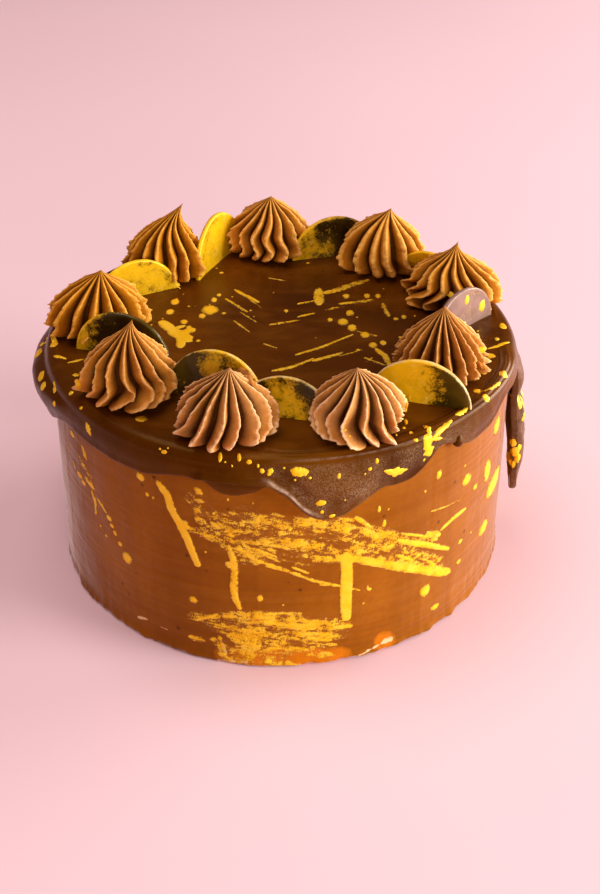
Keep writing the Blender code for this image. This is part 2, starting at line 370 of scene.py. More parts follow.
def buttercream_colour(n):
    """The wall's colour, with painted shade darkening its pits, and the pits' mask."""
    colour = n.mix(n.patches(0.35, 0.68, 26, 3), *WALL_COLOURS)
    colour = n.tint(colour, n.patches(0.42, 0.62, 9, 4, stretch=(1, 1, 26)), 0.30, WALL_STREAK)
    colour = n.tint(colour, n.patches(0.46, 0.62, 60, 3, stretch=(1, 1, 0.08)), 0.30, WALL_UPRIGHT)
    colour = n.tint(colour, n.patches(0.40, 0.64, 520, 2), 0.20, WALL_GRAIN)
    # Painted shade: the pits are darkened as if shade fell in them
    pits = n.times(n.ramp(n.cells(150), 0.06, 0.14, 1.0, 0.0), n.patches(0.56, 0.60, 60, 1))
    colour = n.tint(colour, pits, 0.75, WALL_PIT_SHADE)
    wash = n.ramp(n.plus(n.attribute("wash"), n.noise(170, 3)), 0.85, 1.15)
    colour = n.tint(colour, wash, 0.85, WASH)
    chips = n.ramp(n.plus(n.attribute("pale"), n.noise(420, 3)), 0.90, 1.10)
    return n.tint(colour, chips, 0.8, CHIP), pits


def buttercream_relief(n, pits):
    normal = n.bump(n.noise(420, 3), 0.30, 0.0004)
    normal = n.bump(n.noise(14, 4, stretch=(1, 1, 34)), 0.25, 0.0006, normal)
    return n.bump(pits, -0.8, 0.0005, normal)


def buttercream_finish():
    n = Nodes("buttercream_finish")
    colour, pits = buttercream_colour(n)
    rough = n.ramp(n.noise(90, 3), 0.3, 0.7, 0.46, 0.60)
    sheen = dict(Sheen_Weight=0.75, Sheen_Roughness=0.30, Sheen_Tint=(1.0, 0.82, 0.80, 1))
    return n.finish(colour, rough, buttercream_relief(n, pits), 0.12, (1.0, 0.58, 0.12), **sheen)


def ganache_colour(n):
    colour = n.mix(n.patches(0.35, 0.65, 22, 3), *GANACHE_COLOURS)
    smears = n.patches(0.50, 0.66, 40, 4, stretch=(1, 2.5, 1), distortion=0.6)
    return n.tint(colour, smears, 0.35, GANACHE_SMEAR)


def ganache_finish():
    """Ganache with painted shade, a speckled bloom partly of painted glints, and a painted highlight,
    where they are painted.
    """
    n = Nodes("ganache_finish")
    # Painted shade, darkening the left drape and the under-tongue
    colour = n.tint(ganache_colour(n), n.attribute("shade"), 0.30, GANACHE_PAINTED_SHADE)
    bloom_and_glints = n.attribute("bloom_and_glints")
    colour = n.tint(colour, bloom_and_glints, 0.45, GANACHE_DULL)
    # Bloom specks, partly real bloom and partly painted glints of light
    specks = n.times(n.patches(0.44, 0.64, 2300, 3, 0.75), n.patches(0.36, 0.60, 90, 4, 0.65))
    colour = n.tint(colour, n.times(specks, bloom_and_glints), 0.66, GANACHE_BLOOM_GLINTS)
    # Painted highlight along the flap's rolled edge, the rim's crease and the right tongue, broken by
    # noise
    painted_highlight = n.times(n.attribute("painted_highlight"), n.ramp(n.noise(420, 4, 0.7), 0.36, 0.56, 0.25, 1.0))
    colour = n.tint(colour, painted_highlight, 0.62, GANACHE_PAINTED_HIGHLIGHT)
    rough = n.plus(n.ramp(n.noise(60, 4), 0.3, 0.7, 0.22, 0.36), n.times(bloom_and_glints, 0.06))
    normal = n.bump(n.noise(240, 3), 0.12, 0.0004)
    normal = n.bump(n.noise(34, 3, stretch=(1, 1, 0.4)), 0.25, 0.0010, normal)
    normal = n.bump(n.times(n.noise(1500, 3, 0.7), bloom_and_glints), 0.5, 0.0004, normal)
    return n.finish(colour, rough, normal, 0.17, (1.0, 0.58, 0.10))


def piped_finish():
    """Piped cream, with painted shade in its grooves and a painted highlight along its crests."""
    n = Nodes("piped_finish")
    milk = n.attribute("milk")
    deep, light, pale = [n.mix(milk, *ends) for ends in PIPED_COLOURS]
    colour = n.mix(n.patches(0.35, 0.65, 70, 3), deep, light)
    crest = n.plus(n.attribute("crest"), n.times(n.noise(600, 2), 0.16))
    crest = n.math("SUBTRACT", crest, 0.08)
    # Painted shade in the grooves
    colour = n.mix(n.ramp(crest, 0.28, 0.96, 0.97, 0.0), colour, PIPED_GROOVE_SHADE)
    # Painted highlight along the crests
    colour = n.mix(n.ramp(crest, 0.88, 1.02), colour, pale)
    colour = n.tint(colour, n.patches(0.38, 0.66, 800, 3), 0.16, PIPED_GRAIN)
    normal = n.bump(n.noise(900, 3, 0.65), 0.60, 0.0004)
    normal = n.bump(n.noise(260, 3), 0.30, 0.0005, normal)
    rough = n.ramp(n.noise(200, 2), 0.3, 0.7, 0.50, 0.64)
    depth = dict(Subsurface_Weight=0.06, Subsurface_Scale=0.002, Subsurface_Radius=(1.0, 0.35, 0.1))
    return n.finish(colour, rough, normal, 0.16, (1.0, 0.60, 0.12), **depth)


def paint_finish(name, underneath, relief=None):
    """Gold paint over what carries it. The paint attribute is above 0 where it covers, and
    fine noise breaks its edge and its thin stretches into flecks."""
    n = Nodes(name)
    under, pits = underneath(n)
    depth = n.plus(n.swing(0.75, 620, 3, 0.6), n.swing(1.10, 2300, 2, 0.5))
    depth = n.plus(n.attribute("paint"), depth)
    cover = n.ramp(depth, -0.02, 0.05)
    gold = n.mix(n.ramp(depth, 0.0, 0.42), GOLD_DEEP, GOLD_BRIGHT)
    # Paler flecks in the gold, partly painted glints
    gold = n.tint(gold, n.patches(0.40, 0.64, 200, 3), 0.40, GOLD_PALE_GLINTS)
    normal = n.bump(cover, 0.35, 0.0002, relief and relief(n, pits))
    metal, rough = n.ramp(cover, 0.0, 1.0, 0.0, 0.20), n.ramp(cover, 0.0, 1.0, 0.50, 0.36)
    return n.finish(n.mix(cover, under, gold), rough, normal, 0.30, (1.0, 0.8, 0.5), Metallic=metal)


def disc_finish():
    """Dark chocolate with rubbed gold, a pale rim, or a painted mauve glare where they are painted."""
    n = Nodes("gilded_chocolate_finish")
    dark = n.mix(n.patches(0.35, 0.65, 60, 3), *DISC_COLOURS)
    depth = n.plus(n.swing(1.9, 125, 6, 0.72), n.swing(0.5, 1400, 2))
    depth = n.plus(n.attribute("gilt"), depth)
    cover = n.ramp(depth, 0.38, 0.66)
    gold = n.mix(n.ramp(depth, 0.5, 1.0), *DISC_GOLDS)
    gold = n.tint(gold, n.patches(0.56, 0.70, 260, 4, 0.65), 0.4, DISC_GOLD_PALE)
    # Paler colour near the disc's rim
    pale_rim = n.ramp(n.plus(n.attribute("pale_rim"), n.noise(300, 3)), 0.85, 1.25)
    colour = n.mix(pale_rim, n.mix(cover, dark, gold), DISC_RIM_PALE)
    # Painted reflection: a mauve glare laid over the disc's colour
    painted_glare = n.times(n.attribute("painted_glare"), n.ramp(n.noise(200, 3), 0.3, 0.6, 0.6, 0.9))
    colour = n.mix(painted_glare, colour, DISC_PAINTED_GLARE)
    normal = n.bump(n.noise(700, 4, 0.7), 0.30, 0.0003)
    normal = n.bump(n.noise(90, 3), 0.25, 0.0010, normal)
    metal, rough = n.ramp(cover, 0.0, 1.0, 0.0, 0.10), n.ramp(cover, 0.0, 1.0, 0.24, 0.40)
    return n.finish(colour, rough, normal, 0.40, (1.0, 0.85, 0.6), Metallic=metal)


def floor_finish():
    n = Nodes("floor_finish")
    colour = n.mix(n.patches(0.3, 0.7, 3, 2), *FLOOR_COLOURS)
    return n.finish(colour, 0.75, n.bump(n.noise(500, 2), 0.05, 0.0002), 0.2)


# Camera and the photograph's rays

def camera_turn():
    tilt = Matrix.Rotation(math.radians(90 - CAMERA_DOWN), 4, "X")
    return tilt @ Matrix.Rotation(math.radians(CAMERA_ROLL), 4, "Z")


def photo_ray(x, y):
    """The direction from the camera through a pixel of the photograph."""
    sight = Vector((x - PHOTO_WIDTH / 2, PHOTO_HEIGHT / 2 - y, -FOCAL_PIXELS))
    return (camera_turn() @ sight).normalized()


def pixel_hit(surface, x, y):
    """Where a pixel's ray meets a surface: point, normal and distance."""
    return surface.cast(Vector(CAMERA_AT), photo_ray(x, y))


def pairs(numbers):
    """Points from x and y written in turn."""
    return list(zip(numbers[::2], numbers[1::2]))


def wall_at_pixel(x, y):
    """(distance round the wall, height) where a pixel's ray meets the buttercream, in metres."""
    eye, ray = Vector(CAMERA_AT), photo_ray(x, y)
    a = ray.x**2 + ray.y**2
    b = eye.x * ray.x + eye.y * ray.y
    c = eye.x**2 + eye.y**2 - CAKE_RADIUS**2
    inside = max(b * b - a * c, 0.0)
    hit = eye + ray * ((-b - math.sqrt(inside)) / a)
    return math.atan2(hit.y, hit.x) * CAKE_RADIUS, hit.z


# Buttercream wall

WALL_COLUMNS = 720
WALL_ROWS = 120
FOOT_HEIGHT = 0.0060
LUMP_HEIGHT = 0.00022
LINE_HEIGHT = 0.00007
STOP_HEIGHT = 0.00016
CORNER_STEPS = 6


def wall_detail(angle, height):
    """The scraped wall with the relief that shows: lumps, scraper lines and a rough foot."""
    around = angle / math.tau % 1.0
    lumps = LUMP_HEIGHT * fractal(around * 48, height / 0.011, 11, 48)
    lines = LINE_HEIGHT * noise(around * 9, height / 0.0009, 21, 9)
    stops = STOP_HEIGHT * noise(around * 190, height / 0.060, 31, 190) ** 3
    foot = smooth(1 - height / FOOT_HEIGHT) ** 2
    crumbs = foot * (0.0007 + 0.0009 * fractal(around * 130, height / 0.004, 41, 130))
    return wall(angle, height) + lumps + lines + stops + crumbs


def wall_soft_box(at, corners):
    """1 inside a soft-edged oval on the wall, given two photograph pixels."""
    (u0, v0), (u1, v1) = (wall_at_pixel(*corner) for corner in corners)
    u, v = at
    half_u, half_v = abs(u1 - u0) / 2, abs(v1 - v0) / 2
    return smooth(1.6 - np.hypot((u - (u0 + u1) / 2) / half_u, (v - (v0 + v1) / 2) / half_v))


def wall_soft_line(at, ends, half):
    """1 along a soft-edged line on the wall, given two photograph pixels."""
    (u0, v0), (u1, v1) = (wall_at_pixel(*end) for end in ends)
    u, v = at
    du, dv = u1 - u0, v1 - v0
    along = np.clip(((u - u0) * du + (v - v0) * dv) / (du * du + dv * dv), 0, 1)
    return smooth(1.5 - np.hypot(u - u0 - along * du, v - v0 - along * dv) / half)


WASH_BOXES = (
    ((214, 640), (312, 668)), ((300, 650), (350, 668)), ((374, 632), (394, 648)),
)
PALE_LINES = (
    ((219, 659), (247, 660), 0.0007), ((353, 656), (372, 648), 0.0005),
    ((372, 648), (386, 641), 0.0005), ((386, 640), (390, 639), 0.0013),
    ((138, 617), (146, 619), 0.0007), ((161, 627), (167, 629), 0.0005),
    ((223, 643), (226, 652), 0.0008), ((285, 628), (308, 626), 0.0003),
)


def wall_marks(angle, height):
    """The orange glow and the pale chips near the foot, as point attributes."""
    signed = (angle + math.pi) % math.tau - math.pi
    at = signed * CAKE_RADIUS, height
    wash = sum(0.6 * wall_soft_box(at, box) for box in WASH_BOXES)
    pale = sum(wall_soft_line(at, line[:2], line[2]) for line in PALE_LINES)
    return dict(wash=np.clip(wash, 0, 1), pale=np.clip(pale, 0, 1) * 0.62)


def add_wall(finish):
    angle = np.linspace(0, math.tau, WALL_COLUMNS, endpoint=False)
    corner = np.radians(np.linspace(0, 90, CORNER_STEPS))
    low = BASE_ROUND * (1 - np.cos(corner))
    side = np.linspace(BASE_ROUND, CAKE_HEIGHT - TOP_ROUND, WALL_ROWS)[1:]
    top = CAKE_HEIGHT - TOP_ROUND + TOP_ROUND * np.sin(corner[1:])
    height = np.concatenate([low, side, top])
    under, over = BASE_ROUND * (1 - np.sin(corner)), TOP_ROUND * (1 - np.cos(corner[1:]))
    inset = np.concatenate([under, side * 0, over])
    grid_a, grid_h = np.meshgrid(angle, height)
    radius = wall_detail(grid_a, grid_h) - inset[:, None]
    points = polar(grid_a, radius, grid_h).reshape(-1, 3)
    points = np.vstack([points, (0, 0, 0), (0, 0, CAKE_HEIGHT)])
    faces, marks = closed_faces(len(height), WALL_COLUMNS), wall_marks(grid_a, grid_h)
    made = mesh_object("buttercream_wall", points, faces, finish, "buttercream", **marks)
    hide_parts("cake_drum")


# Ganache

SHEET_COLUMNS = 800
TOP_SHARES = np.concatenate([np.linspace(0, 0.90, 18)[1:], np.linspace(0.90, 1.0, 30)[1:]])
TONGUE_ANGLE = 0.0
PINCH_DROP = 0.0205
SHOULDER_DROP = 0.0125
TOP_SINK = 0.0002
EDGE_HALF = 0.0012
HEM_THICK = 0.0022
RIM_STEPS = 10
DRAPE_STEPS = 48
HEM_STEPS = 9
SOFT_RIM = 0.0042
CRISP_RIM = 0.0017
SIDE_STARTS = 0.0012
TUCK_ANGLE = -99.5
TUCK_DROP = 0.0078


def turn_between(angle, other):
    return (angle - other + 180) % 360 - 180


def near_angle(angle, centre, half_width, soft):
    """1 within a span of angles, given in degrees, and 0 beyond its soft edge."""
    return smooth((half_width + soft / 2 - np.abs(turn_between(np.degrees(angle), centre))) / soft)


def full_drape(angle):
    """Drop, flare, curl and belly of the sheet, as in the solids."""
    degrees = np.degrees(angle)
    drop = np.full_like(angle, BASE_DROP)
    flare, curl = np.zeros_like(angle), np.zeros_like(angle)
    belly, weight = np.full_like(angle, 0.5), np.full_like(angle, 1e-6)
    for centre, half_width, deep, out, tip, share in LOBES:
        near = np.minimum(np.abs(turn_between(degrees, centre)) / half_width, 1.0)
        part = np.cos(near**LOBE_FULLNESS * math.pi / 2) ** 2
        drop += (deep - BASE_DROP) * part
        flare += out * part
        curl += tip * part
        belly += (share - belly) * part * part / (weight + part * part)
        weight += part * part
    return drop, flare, curl, belly


def drape(angle):
    """The same with a frilly edge, and short where a thin tongue lies below it."""
    drop, flare, curl, belly = full_drape(angle)
    around = angle / math.tau % 1.0
    drop = drop + 0.0006 * fractal(around * 60, around * 0, 51, 60)
    tuck = near_angle(angle, TUCK_ANGLE, 8.5, 4)
    drop = blend(drop, np.minimum(drop, TUCK_DROP), tuck)
    return drop, flare, curl + 0.0018 * tuck, belly


def rim_round(angle):
    """The rim is crisp at the front right and rounds softly over elsewhere."""
    degrees = np.degrees(angle)
    crisp = smooth((48 - np.abs(turn_between(degrees, -52))) / 14)
    return blend(SOFT_RIM, CRISP_RIM, crisp), crisp


def stand_off(share, flare, curl, belly):
    """How far the drape stands off the wall at a share of its drop, as in the solids."""
    past = np.clip((share - belly) / (1 - belly), 0, 1)
    before = flare * np.sin(np.clip(share / belly, 0, 1) * math.pi / 2)
    after = curl + (flare - curl) * np.cos(past * math.pi / 2)
    return np.where(share < belly, before, after)


def sheet_side(angle, depth, parts):
    """Radius of the sheet's outer face at a depth below its top."""
    drop, flare, curl, belly = parts
    round_here, _ = rim_round(angle)
    outside = wall(angle, SHEET_TOP) + GAP + SHEET_THICK
    share = np.clip((depth - round_here) / (drop - round_here), 0, 1)
    out = stand_off(share, flare, curl, belly)
    around = angle / math.tau % 1.0
    tongue = near_angle(angle, TONGUE_ANGLE, 8.5, 5)
    pinch, shoulder = hump(depth, PINCH_DROP, 0.0034), hump(depth, SHOULDER_DROP, 0.0050)
    out = out * (1 - 0.62 * tongue * pinch) + 0.0012 * tongue * shoulder
    lumps = fractal(around * 150, depth / 0.007, 65, 150)
    out = out + 0.0006 * tongue * smooth(depth / 0.008) * lumps
    folds = 0.00025 * fractal(around * 80, depth / 0.012, 61, 80) * smooth(share * 4)
    past_edge = drop - depth
    bead = 0.0005 * hump(past_edge, 0, 0.0014)
    bead = bead + 0.0006 * near_angle(angle, -86, 6, 4) * hump(past_edge, 0.0008, 0.0013)
    hollow = 0.0006 * near_angle(angle, -84, 8, 5) * hump(past_edge, 0.0062, 0.0026)
    return outside + out + folds + bead - hollow


def top_height(x, y):
    """The ganache's top: poured flat, with slight swells and spatula marks."""
    swell = 0.00022 * fractal(x / 0.030 + 9, y / 0.030 + 9, 71)
    marks = 0.00010 * noise(x / 0.016 + y / 0.02 + 40, y / 0.004 - x / 0.006 + 40, 81)
    return SHEET_TOP - TOP_SINK + swell + marks


def sheet_rows(angle, parts):
    """Radius and height of the sheet's rows: out over the top, round the rim, down the drape,
    round its edge and up behind it."""
    drop = parts[0]
    round_here, crisp = rim_round(angle)
    inside = wall(angle, SHEET_TOP) + GAP
    flat = inside + SHEET_THICK - round_here
    rows = []
    for share in TOP_SHARES:
        radius = flat * share
        height = top_height(radius * np.cos(angle), radius * np.sin(angle))
        height = blend(height, SHEET_TOP, smooth((share - 0.93) / 0.05))
        lip = (0.15 + 0.85 * crisp) * 0.0007 * hump(share, 0.992, 0.010)
        groove = crisp * 0.0005 * hump(share, 0.958, 0.006)
        crease = crisp * 0.0004 * hump(share, 0.972, 0.0045)
        rows.append((radius, height + lip - groove + crease))
    for turn in np.radians(np.linspace(0, 90, RIM_STEPS)[1:]):
        reach = round_here * np.sin(turn)
        rows.append((flat + reach, SHEET_TOP - round_here * (1 - np.cos(turn))))
    for share in np.linspace(0, 1, DRAPE_STEPS)[1:]:
        depth = blend(round_here, drop, share)
        rows.append((sheet_side(angle, depth, parts), SHEET_TOP - depth))
    middle = sheet_side(angle, drop, parts) - EDGE_HALF
    for turn in np.radians((30, 60, 90, 125, 160)):
        rows.append((middle + EDGE_HALF * np.cos(turn), SHEET_TOP - drop - LIP * np.sin(turn)))
    for share in np.linspace(0, 1, HEM_STEPS)[1:]:
        height = blend(SHEET_TOP - drop, CAKE_HEIGHT + GAP - TOP_ROUND, share)
        back = np.maximum(sheet_side(angle, SHEET_TOP - height, parts) - HEM_THICK, inside)
        rows.append((blend(back, inside, smooth(share * 1.2 - 0.2)), height))
    return (np.array([np.broadcast_to(row[part], angle.shape) for row in rows]) for part in (0, 1))


def sheet_marks(angle, radius, height, drop):
    """Where the sheet has bloom partly of painted glints, painted shade, or a painted highlight, as point
    attributes.
    """
    side = smooth((SHEET_TOP - SIDE_STARTS - height) / 0.002)
    past = np.maximum(height - (SHEET_TOP - drop), 0)
    # Bloom on the front flap, in a band by its rolled edge and on the right tongue: partly real bloom,
    # partly painted glints and reflection
    band = hump(past, 0.0052, 0.0036) * near_angle(angle, -80, 12, 8)
    flap = near_angle(angle, -66, 26, 12) * 0.55
    tongue = near_angle(angle, TONGUE_ANGLE, 14, 8) * 0.3
    bloom_and_glints = np.maximum(np.maximum(flap, band), tongue) * side
    # Painted highlight on the front flap's rolled edge and on the right tongue
    painted_highlight = near_angle(angle, -87, 5, 4) * hump(past, 0.0013, 0.0006)
    painted_highlight = painted_highlight + near_angle(angle, TONGUE_ANGLE, 9, 6) * 0.12 * side
    # Painted highlight along the crisp crease of the rim at the front right
    out = radius / (wall(angle, SHEET_TOP) + GAP + SHEET_THICK)
    crease_highlight = hump(out, 0.9935, 0.0022) * (height > SHEET_TOP - SIDE_STARTS)
    crease_highlight = crease_highlight * near_angle(angle, -55, 32, 14) * 0.36
    # Painted shade on the left drape
    shade = near_angle(angle, -132, 44, 16) * side
    return dict(bloom_and_glints=bloom_and_glints, shade=shade, painted_highlight=np.clip(painted_highlight * side + crease_highlight, 0, 1))


def add_sheet(finish):
    angle = np.linspace(0, math.tau, SHEET_COLUMNS, endpoint=False)
    parts = drape(angle)
    radius, height = sheet_rows(angle, parts)
    points = polar(angle[None, :], radius, height).reshape(-1, 3)
    points = np.vstack([points, (0, 0, SHEET_TOP - TOP_SINK), (0, 0, CAKE_HEIGHT + GAP)])
    faces = flipped(closed_faces(len(radius), SHEET_COLUMNS))
    marks = sheet_marks(angle, radius, height, parts[0])
    made = mesh_object("ganache_sheet", points, faces, finish, "ganache", **marks)
    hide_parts("ganache")
    return made


TONGUE_SPAN = (-111, -88)
TONGUE_TOP = 0.0085
TONGUE_COLUMNS = 90
TONGUE_ROWS = 26


def add_under_tongue(finish):
    """A thin tongue of ganache lies flat on the wall behind the sheet's edge, left of the
    front flap."""
    angle = np.radians(np.linspace(*TONGUE_SPAN, TONGUE_COLUMNS))
    share = np.linspace(0, 1, TONGUE_ROWS)[:, None]
    height = SHEET_TOP - blend(TONGUE_TOP, full_drape(angle)[0] + 0.0004, share)
    sides = np.sin(np.linspace(0, math.pi, TONGUE_COLUMNS)) ** 0.4
    thick = 0.00075 * np.sqrt(1 - share**6) * sides - 0.00012
    grid_a = np.broadcast_to(angle, height.shape)
    points = polar(grid_a, wall_detail(grid_a, height) + thick, height).reshape(-1, 3)
    faces = flipped(grid_faces(TONGUE_ROWS, TONGUE_COLUMNS, wrap=False))
    # Painted shadow of the sheet's edge: the tongue is darkest at its top, under that edge
    shade = np.broadcast_to(np.clip(2.4 - 2.6 * share, 0, 1.6), height.shape)
    mesh_object("ganache_under_tongue", points, faces, finish, "ganache", shade=shade)


DRIP_PIXEL = (459, 441)
DRIP_RADIUS = 0.0017
DRIP_GRID = 18, 28


def add_drip(surface, finish):
    """The one drop that hangs at the edge of the sheet, at the front right."""
    hit = pixel_hit(surface, *DRIP_PIXEL)
    centre = np.array(hit[0]) - 0.25 * DRIP_RADIUS * np.array(hit[1])
    rows, columns = DRIP_GRID
    turn = np.linspace(0, math.tau, columns, endpoint=False)
    turn, rise = np.meshgrid(turn, np.linspace(-1, 1, rows))
    wide = DRIP_RADIUS * np.sqrt(np.clip(1 - rise**2, 0, 1)) * (1 - 0.15 * rise)
    points = polar(turn, wide, DRIP_RADIUS * 1.25 * rise).reshape(-1, 3) + centre
    mesh_object("ganache_drip", points, grid_faces(*DRIP_GRID), finish, "ganache")


# Piped swirls

FOOT_SINK = 0.0006
POINTS_PER_RIDGE = 14
SWIRL_ROWS = 84


def swirl_radius(share, shoulder):
    """The swirl's outline as a share of its radius, drawn in at its foot."""
    dome = np.cos(math.pi / 2 * np.clip(share, 0, 1) ** shoulder) ** TIP_DRAW
    return dome * (1 - (1 - FOOT_SHARE) * np.exp(-share / FOOT_RISE))


def ridge_turn(share, turns):
    """How far the ridges have turned at a share of the height, with softened corners."""
    at, by = zip(*turns)
    steps = (-0.05, -0.025, 0.0, 0.025, 0.05)
    return sum(np.interp(share + step, at, by) for step in steps) / len(steps)


def add_swirl(number, look, finish):
    """A star-piped swirl: ridges with round noses at the foot, deep grooves and torn crests."""
    rng = np.random.default_rng(100 + number)
    ridges = look.ridges
    columns = ridges * POINTS_PER_RIDGE
    u = np.arange(columns) / columns
    share = 0.5 - 0.5 * np.cos(np.linspace(0, math.pi, SWIRL_ROWS))
    grid_u, s = np.meshgrid(u, share)
    along = grid_u * ridges
    index = np.round(along).astype(int) % ridges
    offset = along - np.round(along)
    skew = 0.5 * (look.skew + rng.uniform(-0.14, 0.14, ridges)[index]) * np.clip(s * 4, 0.3, 1)
    across = np.where(offset < skew, (skew - offset) / (0.5 + skew), (offset - skew) / (0.5 - skew))
    across = np.clip(across, 0, 1)
    lift = look.height * s + look.spike * s**14
    body = 1 - across ** blend(FOOT_ROUNDNESS, look.roundness, smooth(s / ROUNDNESS_FROM))
    lip = hump(across, 0, CREST_HALF) * blend(0.30, 1.0, smooth(s / 0.16))
    torn = noise(along + 3, lift / 0.0011, 200 + number, ridges)
    torn += FINE_TEAR * noise(along + 11, lift / 0.0005, 220 + number, ridges)
    profile = body + lip * (CREST_LIP + CREST_TEAR * torn) * smooth((1 - s) * 4)
    valley = blend(VALLEY_AT_FOOT, VALLEY_ABOVE, np.clip(s / 0.3, 0, 1))
    valley = valley * smooth((1 - s) * 3.2 + 0.25)
    gain = 1 + rng.uniform(-0.22, 0.10, ridges)[index]
    raised = rng.uniform(0, 0.035, ridges)[index]
    under = 1 - np.clip((s - raised) / NOSE_SHARE, 0, 1)
    nose = NOSE_LEAST + (1 - NOSE_LEAST) * np.sqrt(1 - under**2)
    tuck = 1 - (0.03 + rng.uniform(0, 0.07, ridges)[index]) * np.exp(-s / TUCK_RISE)
    swell = 1 + 0.10 * noise(along + 7, s * 5.0, 250 + number, ridges)
    full = look.radius * swirl_radius(s, look.shoulder)
    reach = full * (1 - valley + valley * profile * gain * nose * swell) * tuck
    reach += 0.00028 * fractal(grid_u * 44, lift / 0.0022, 300 + number, 44) * smooth((1 - s) * 6)
    own = 1 + 0.45 * rng.uniform(-1, 1, ridges)[index]
    step = 3.2 * rng.uniform(-1, 1, ridges)[index] * (1 - s)
    kink = 3.0 * noise(along, lift / 0.0038, 500 + number, ridges) * (1 - s)
    turn = np.radians(ridge_turn(s, look.turns) * own + step + kink)
    points = polar(grid_u * math.tau + turn, np.maximum(reach, LEAST_RADIUS), lift)
    points[..., 0] += look.lean * s**4 + 0.6 * look.spike * s**14
    points = np.vstack([points.reshape(-1, 3), (0, 0, 0)])
    a = math.radians(look.angle)
    foot = look.distance
    points += (foot * math.cos(a), foot * math.sin(a), SHEET_TOP + GAP - FOOT_SINK)
    # The crest mark sets painted shade in the grooves and a painted highlight on the crests
    marks = dict(crest=body * nose**0.6 * smooth(s * 9 + 0.3), milk=np.full(len(points), look.milk))
    faces = closed_faces(SWIRL_ROWS, columns, end_pole=False)
    made = mesh_object(f"piped_swirl_{number}", points, faces, finish, "piped_buttercream", **marks)
    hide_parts(f"swirl_{number}")
    return made


# Small smears of piped cream by photograph pixels: from, to, radius in metres
SMEARS = (
    ((158, 392), (170, 398), 0.0007),
    ((241, 370), (250, 378), 0.0013),
    ((246, 378), (253, 385), 0.0010),
    ((478, 362), (484, 368), 0.0008),
)
SMEAR_SIDES = 16
SMEAR_RINGS = 14


def add_smears(surface, finish):
    """Lumps and wisps that the nozzle left beside the swirls."""
    verts, faces = [], []
    rng = np.random.default_rng(17)
    for start, end, radius in SMEARS:
        hits = [pixel_hit(surface, *p) for p in (start, end)]
        a, b = (np.array(h[0]) + 0.3 * radius * np.array(h[1]) for h in hits)
        length = np.linalg.norm(b - a)
        line = (b - a) / length
        side = np.cross(line, (0, 0, 1.0))
        side /= np.linalg.norm(side)
        over = np.cross(side, line)
        base, phase = len(verts), rng.uniform(0, 6)
        for ring in range(SMEAR_RINGS):
            turn = math.pi * (ring + 0.5) / SMEAR_RINGS
            centre = (a + b) / 2 + line * -math.cos(turn) * (length / 2 + radius)
            wide = radius * math.sin(turn) ** 0.7
            for k in range(SMEAR_SIDES):
                angle = math.tau * k / SMEAR_SIDES
                bumpy = wide * (1 + 0.25 * math.sin(3 * angle + 4 * turn + phase))
                verts.append(centre + bumpy * (side * math.cos(angle) + over * math.sin(angle)))
        last = len(verts) - SMEAR_SIDES
        faces += grid_faces(SMEAR_RINGS, SMEAR_SIDES, base=base)
        faces += [tuple(range(base, base + SMEAR_SIDES))[::-1], tuple(range(last, len(verts)))]
    marks = dict(crest=np.full(len(verts), 0.8), milk=np.full(len(verts), 0.6))
    mesh_object("piped_smears", verts, faces, finish, "piped_buttercream", **marks)


# Discs

# How each disc is gilded: overall cover, how much it grows towards the disc's left, how gold
# its rim is, how much of it has a painted mauve glare, how much gold gathers at its middle,
# and how far its rim is pale
GILDING = (
    (0.74, 0.20, 0.2, 0.0, 0.0, 0.3),
    (0.80, -0.20, 0.2, 0.0, 0.0, 0.3),
    (0.28, 0.75, 0.2, 0.0, 0.1, 0.0),
    (0.74, 0.00, 0.3, 0.0, 0.0, 0.0),
    (0.30, 0.15, 0.0, 1.0, 0.0, 0.0),
    (0.76, 1.55, 0.5, 0.0, 0.0, 0.6),
    (0.24, 0.10, 0.2, 0.0, 0.52, 0.6),
    (0.36, -0.45, 0.3, 0.0, 0.22, 0.5),
    (0.10, 1.25, 0.2, 0.0, 0.0, 0.2),
)
DISC_ARC = 72
DISC_RINGS = 15
DISC_BEVEL = 0.045
DISC_DISH = 0.0007
DISC_WARP = 0.0002
HEART_HEIGHT = 0.52


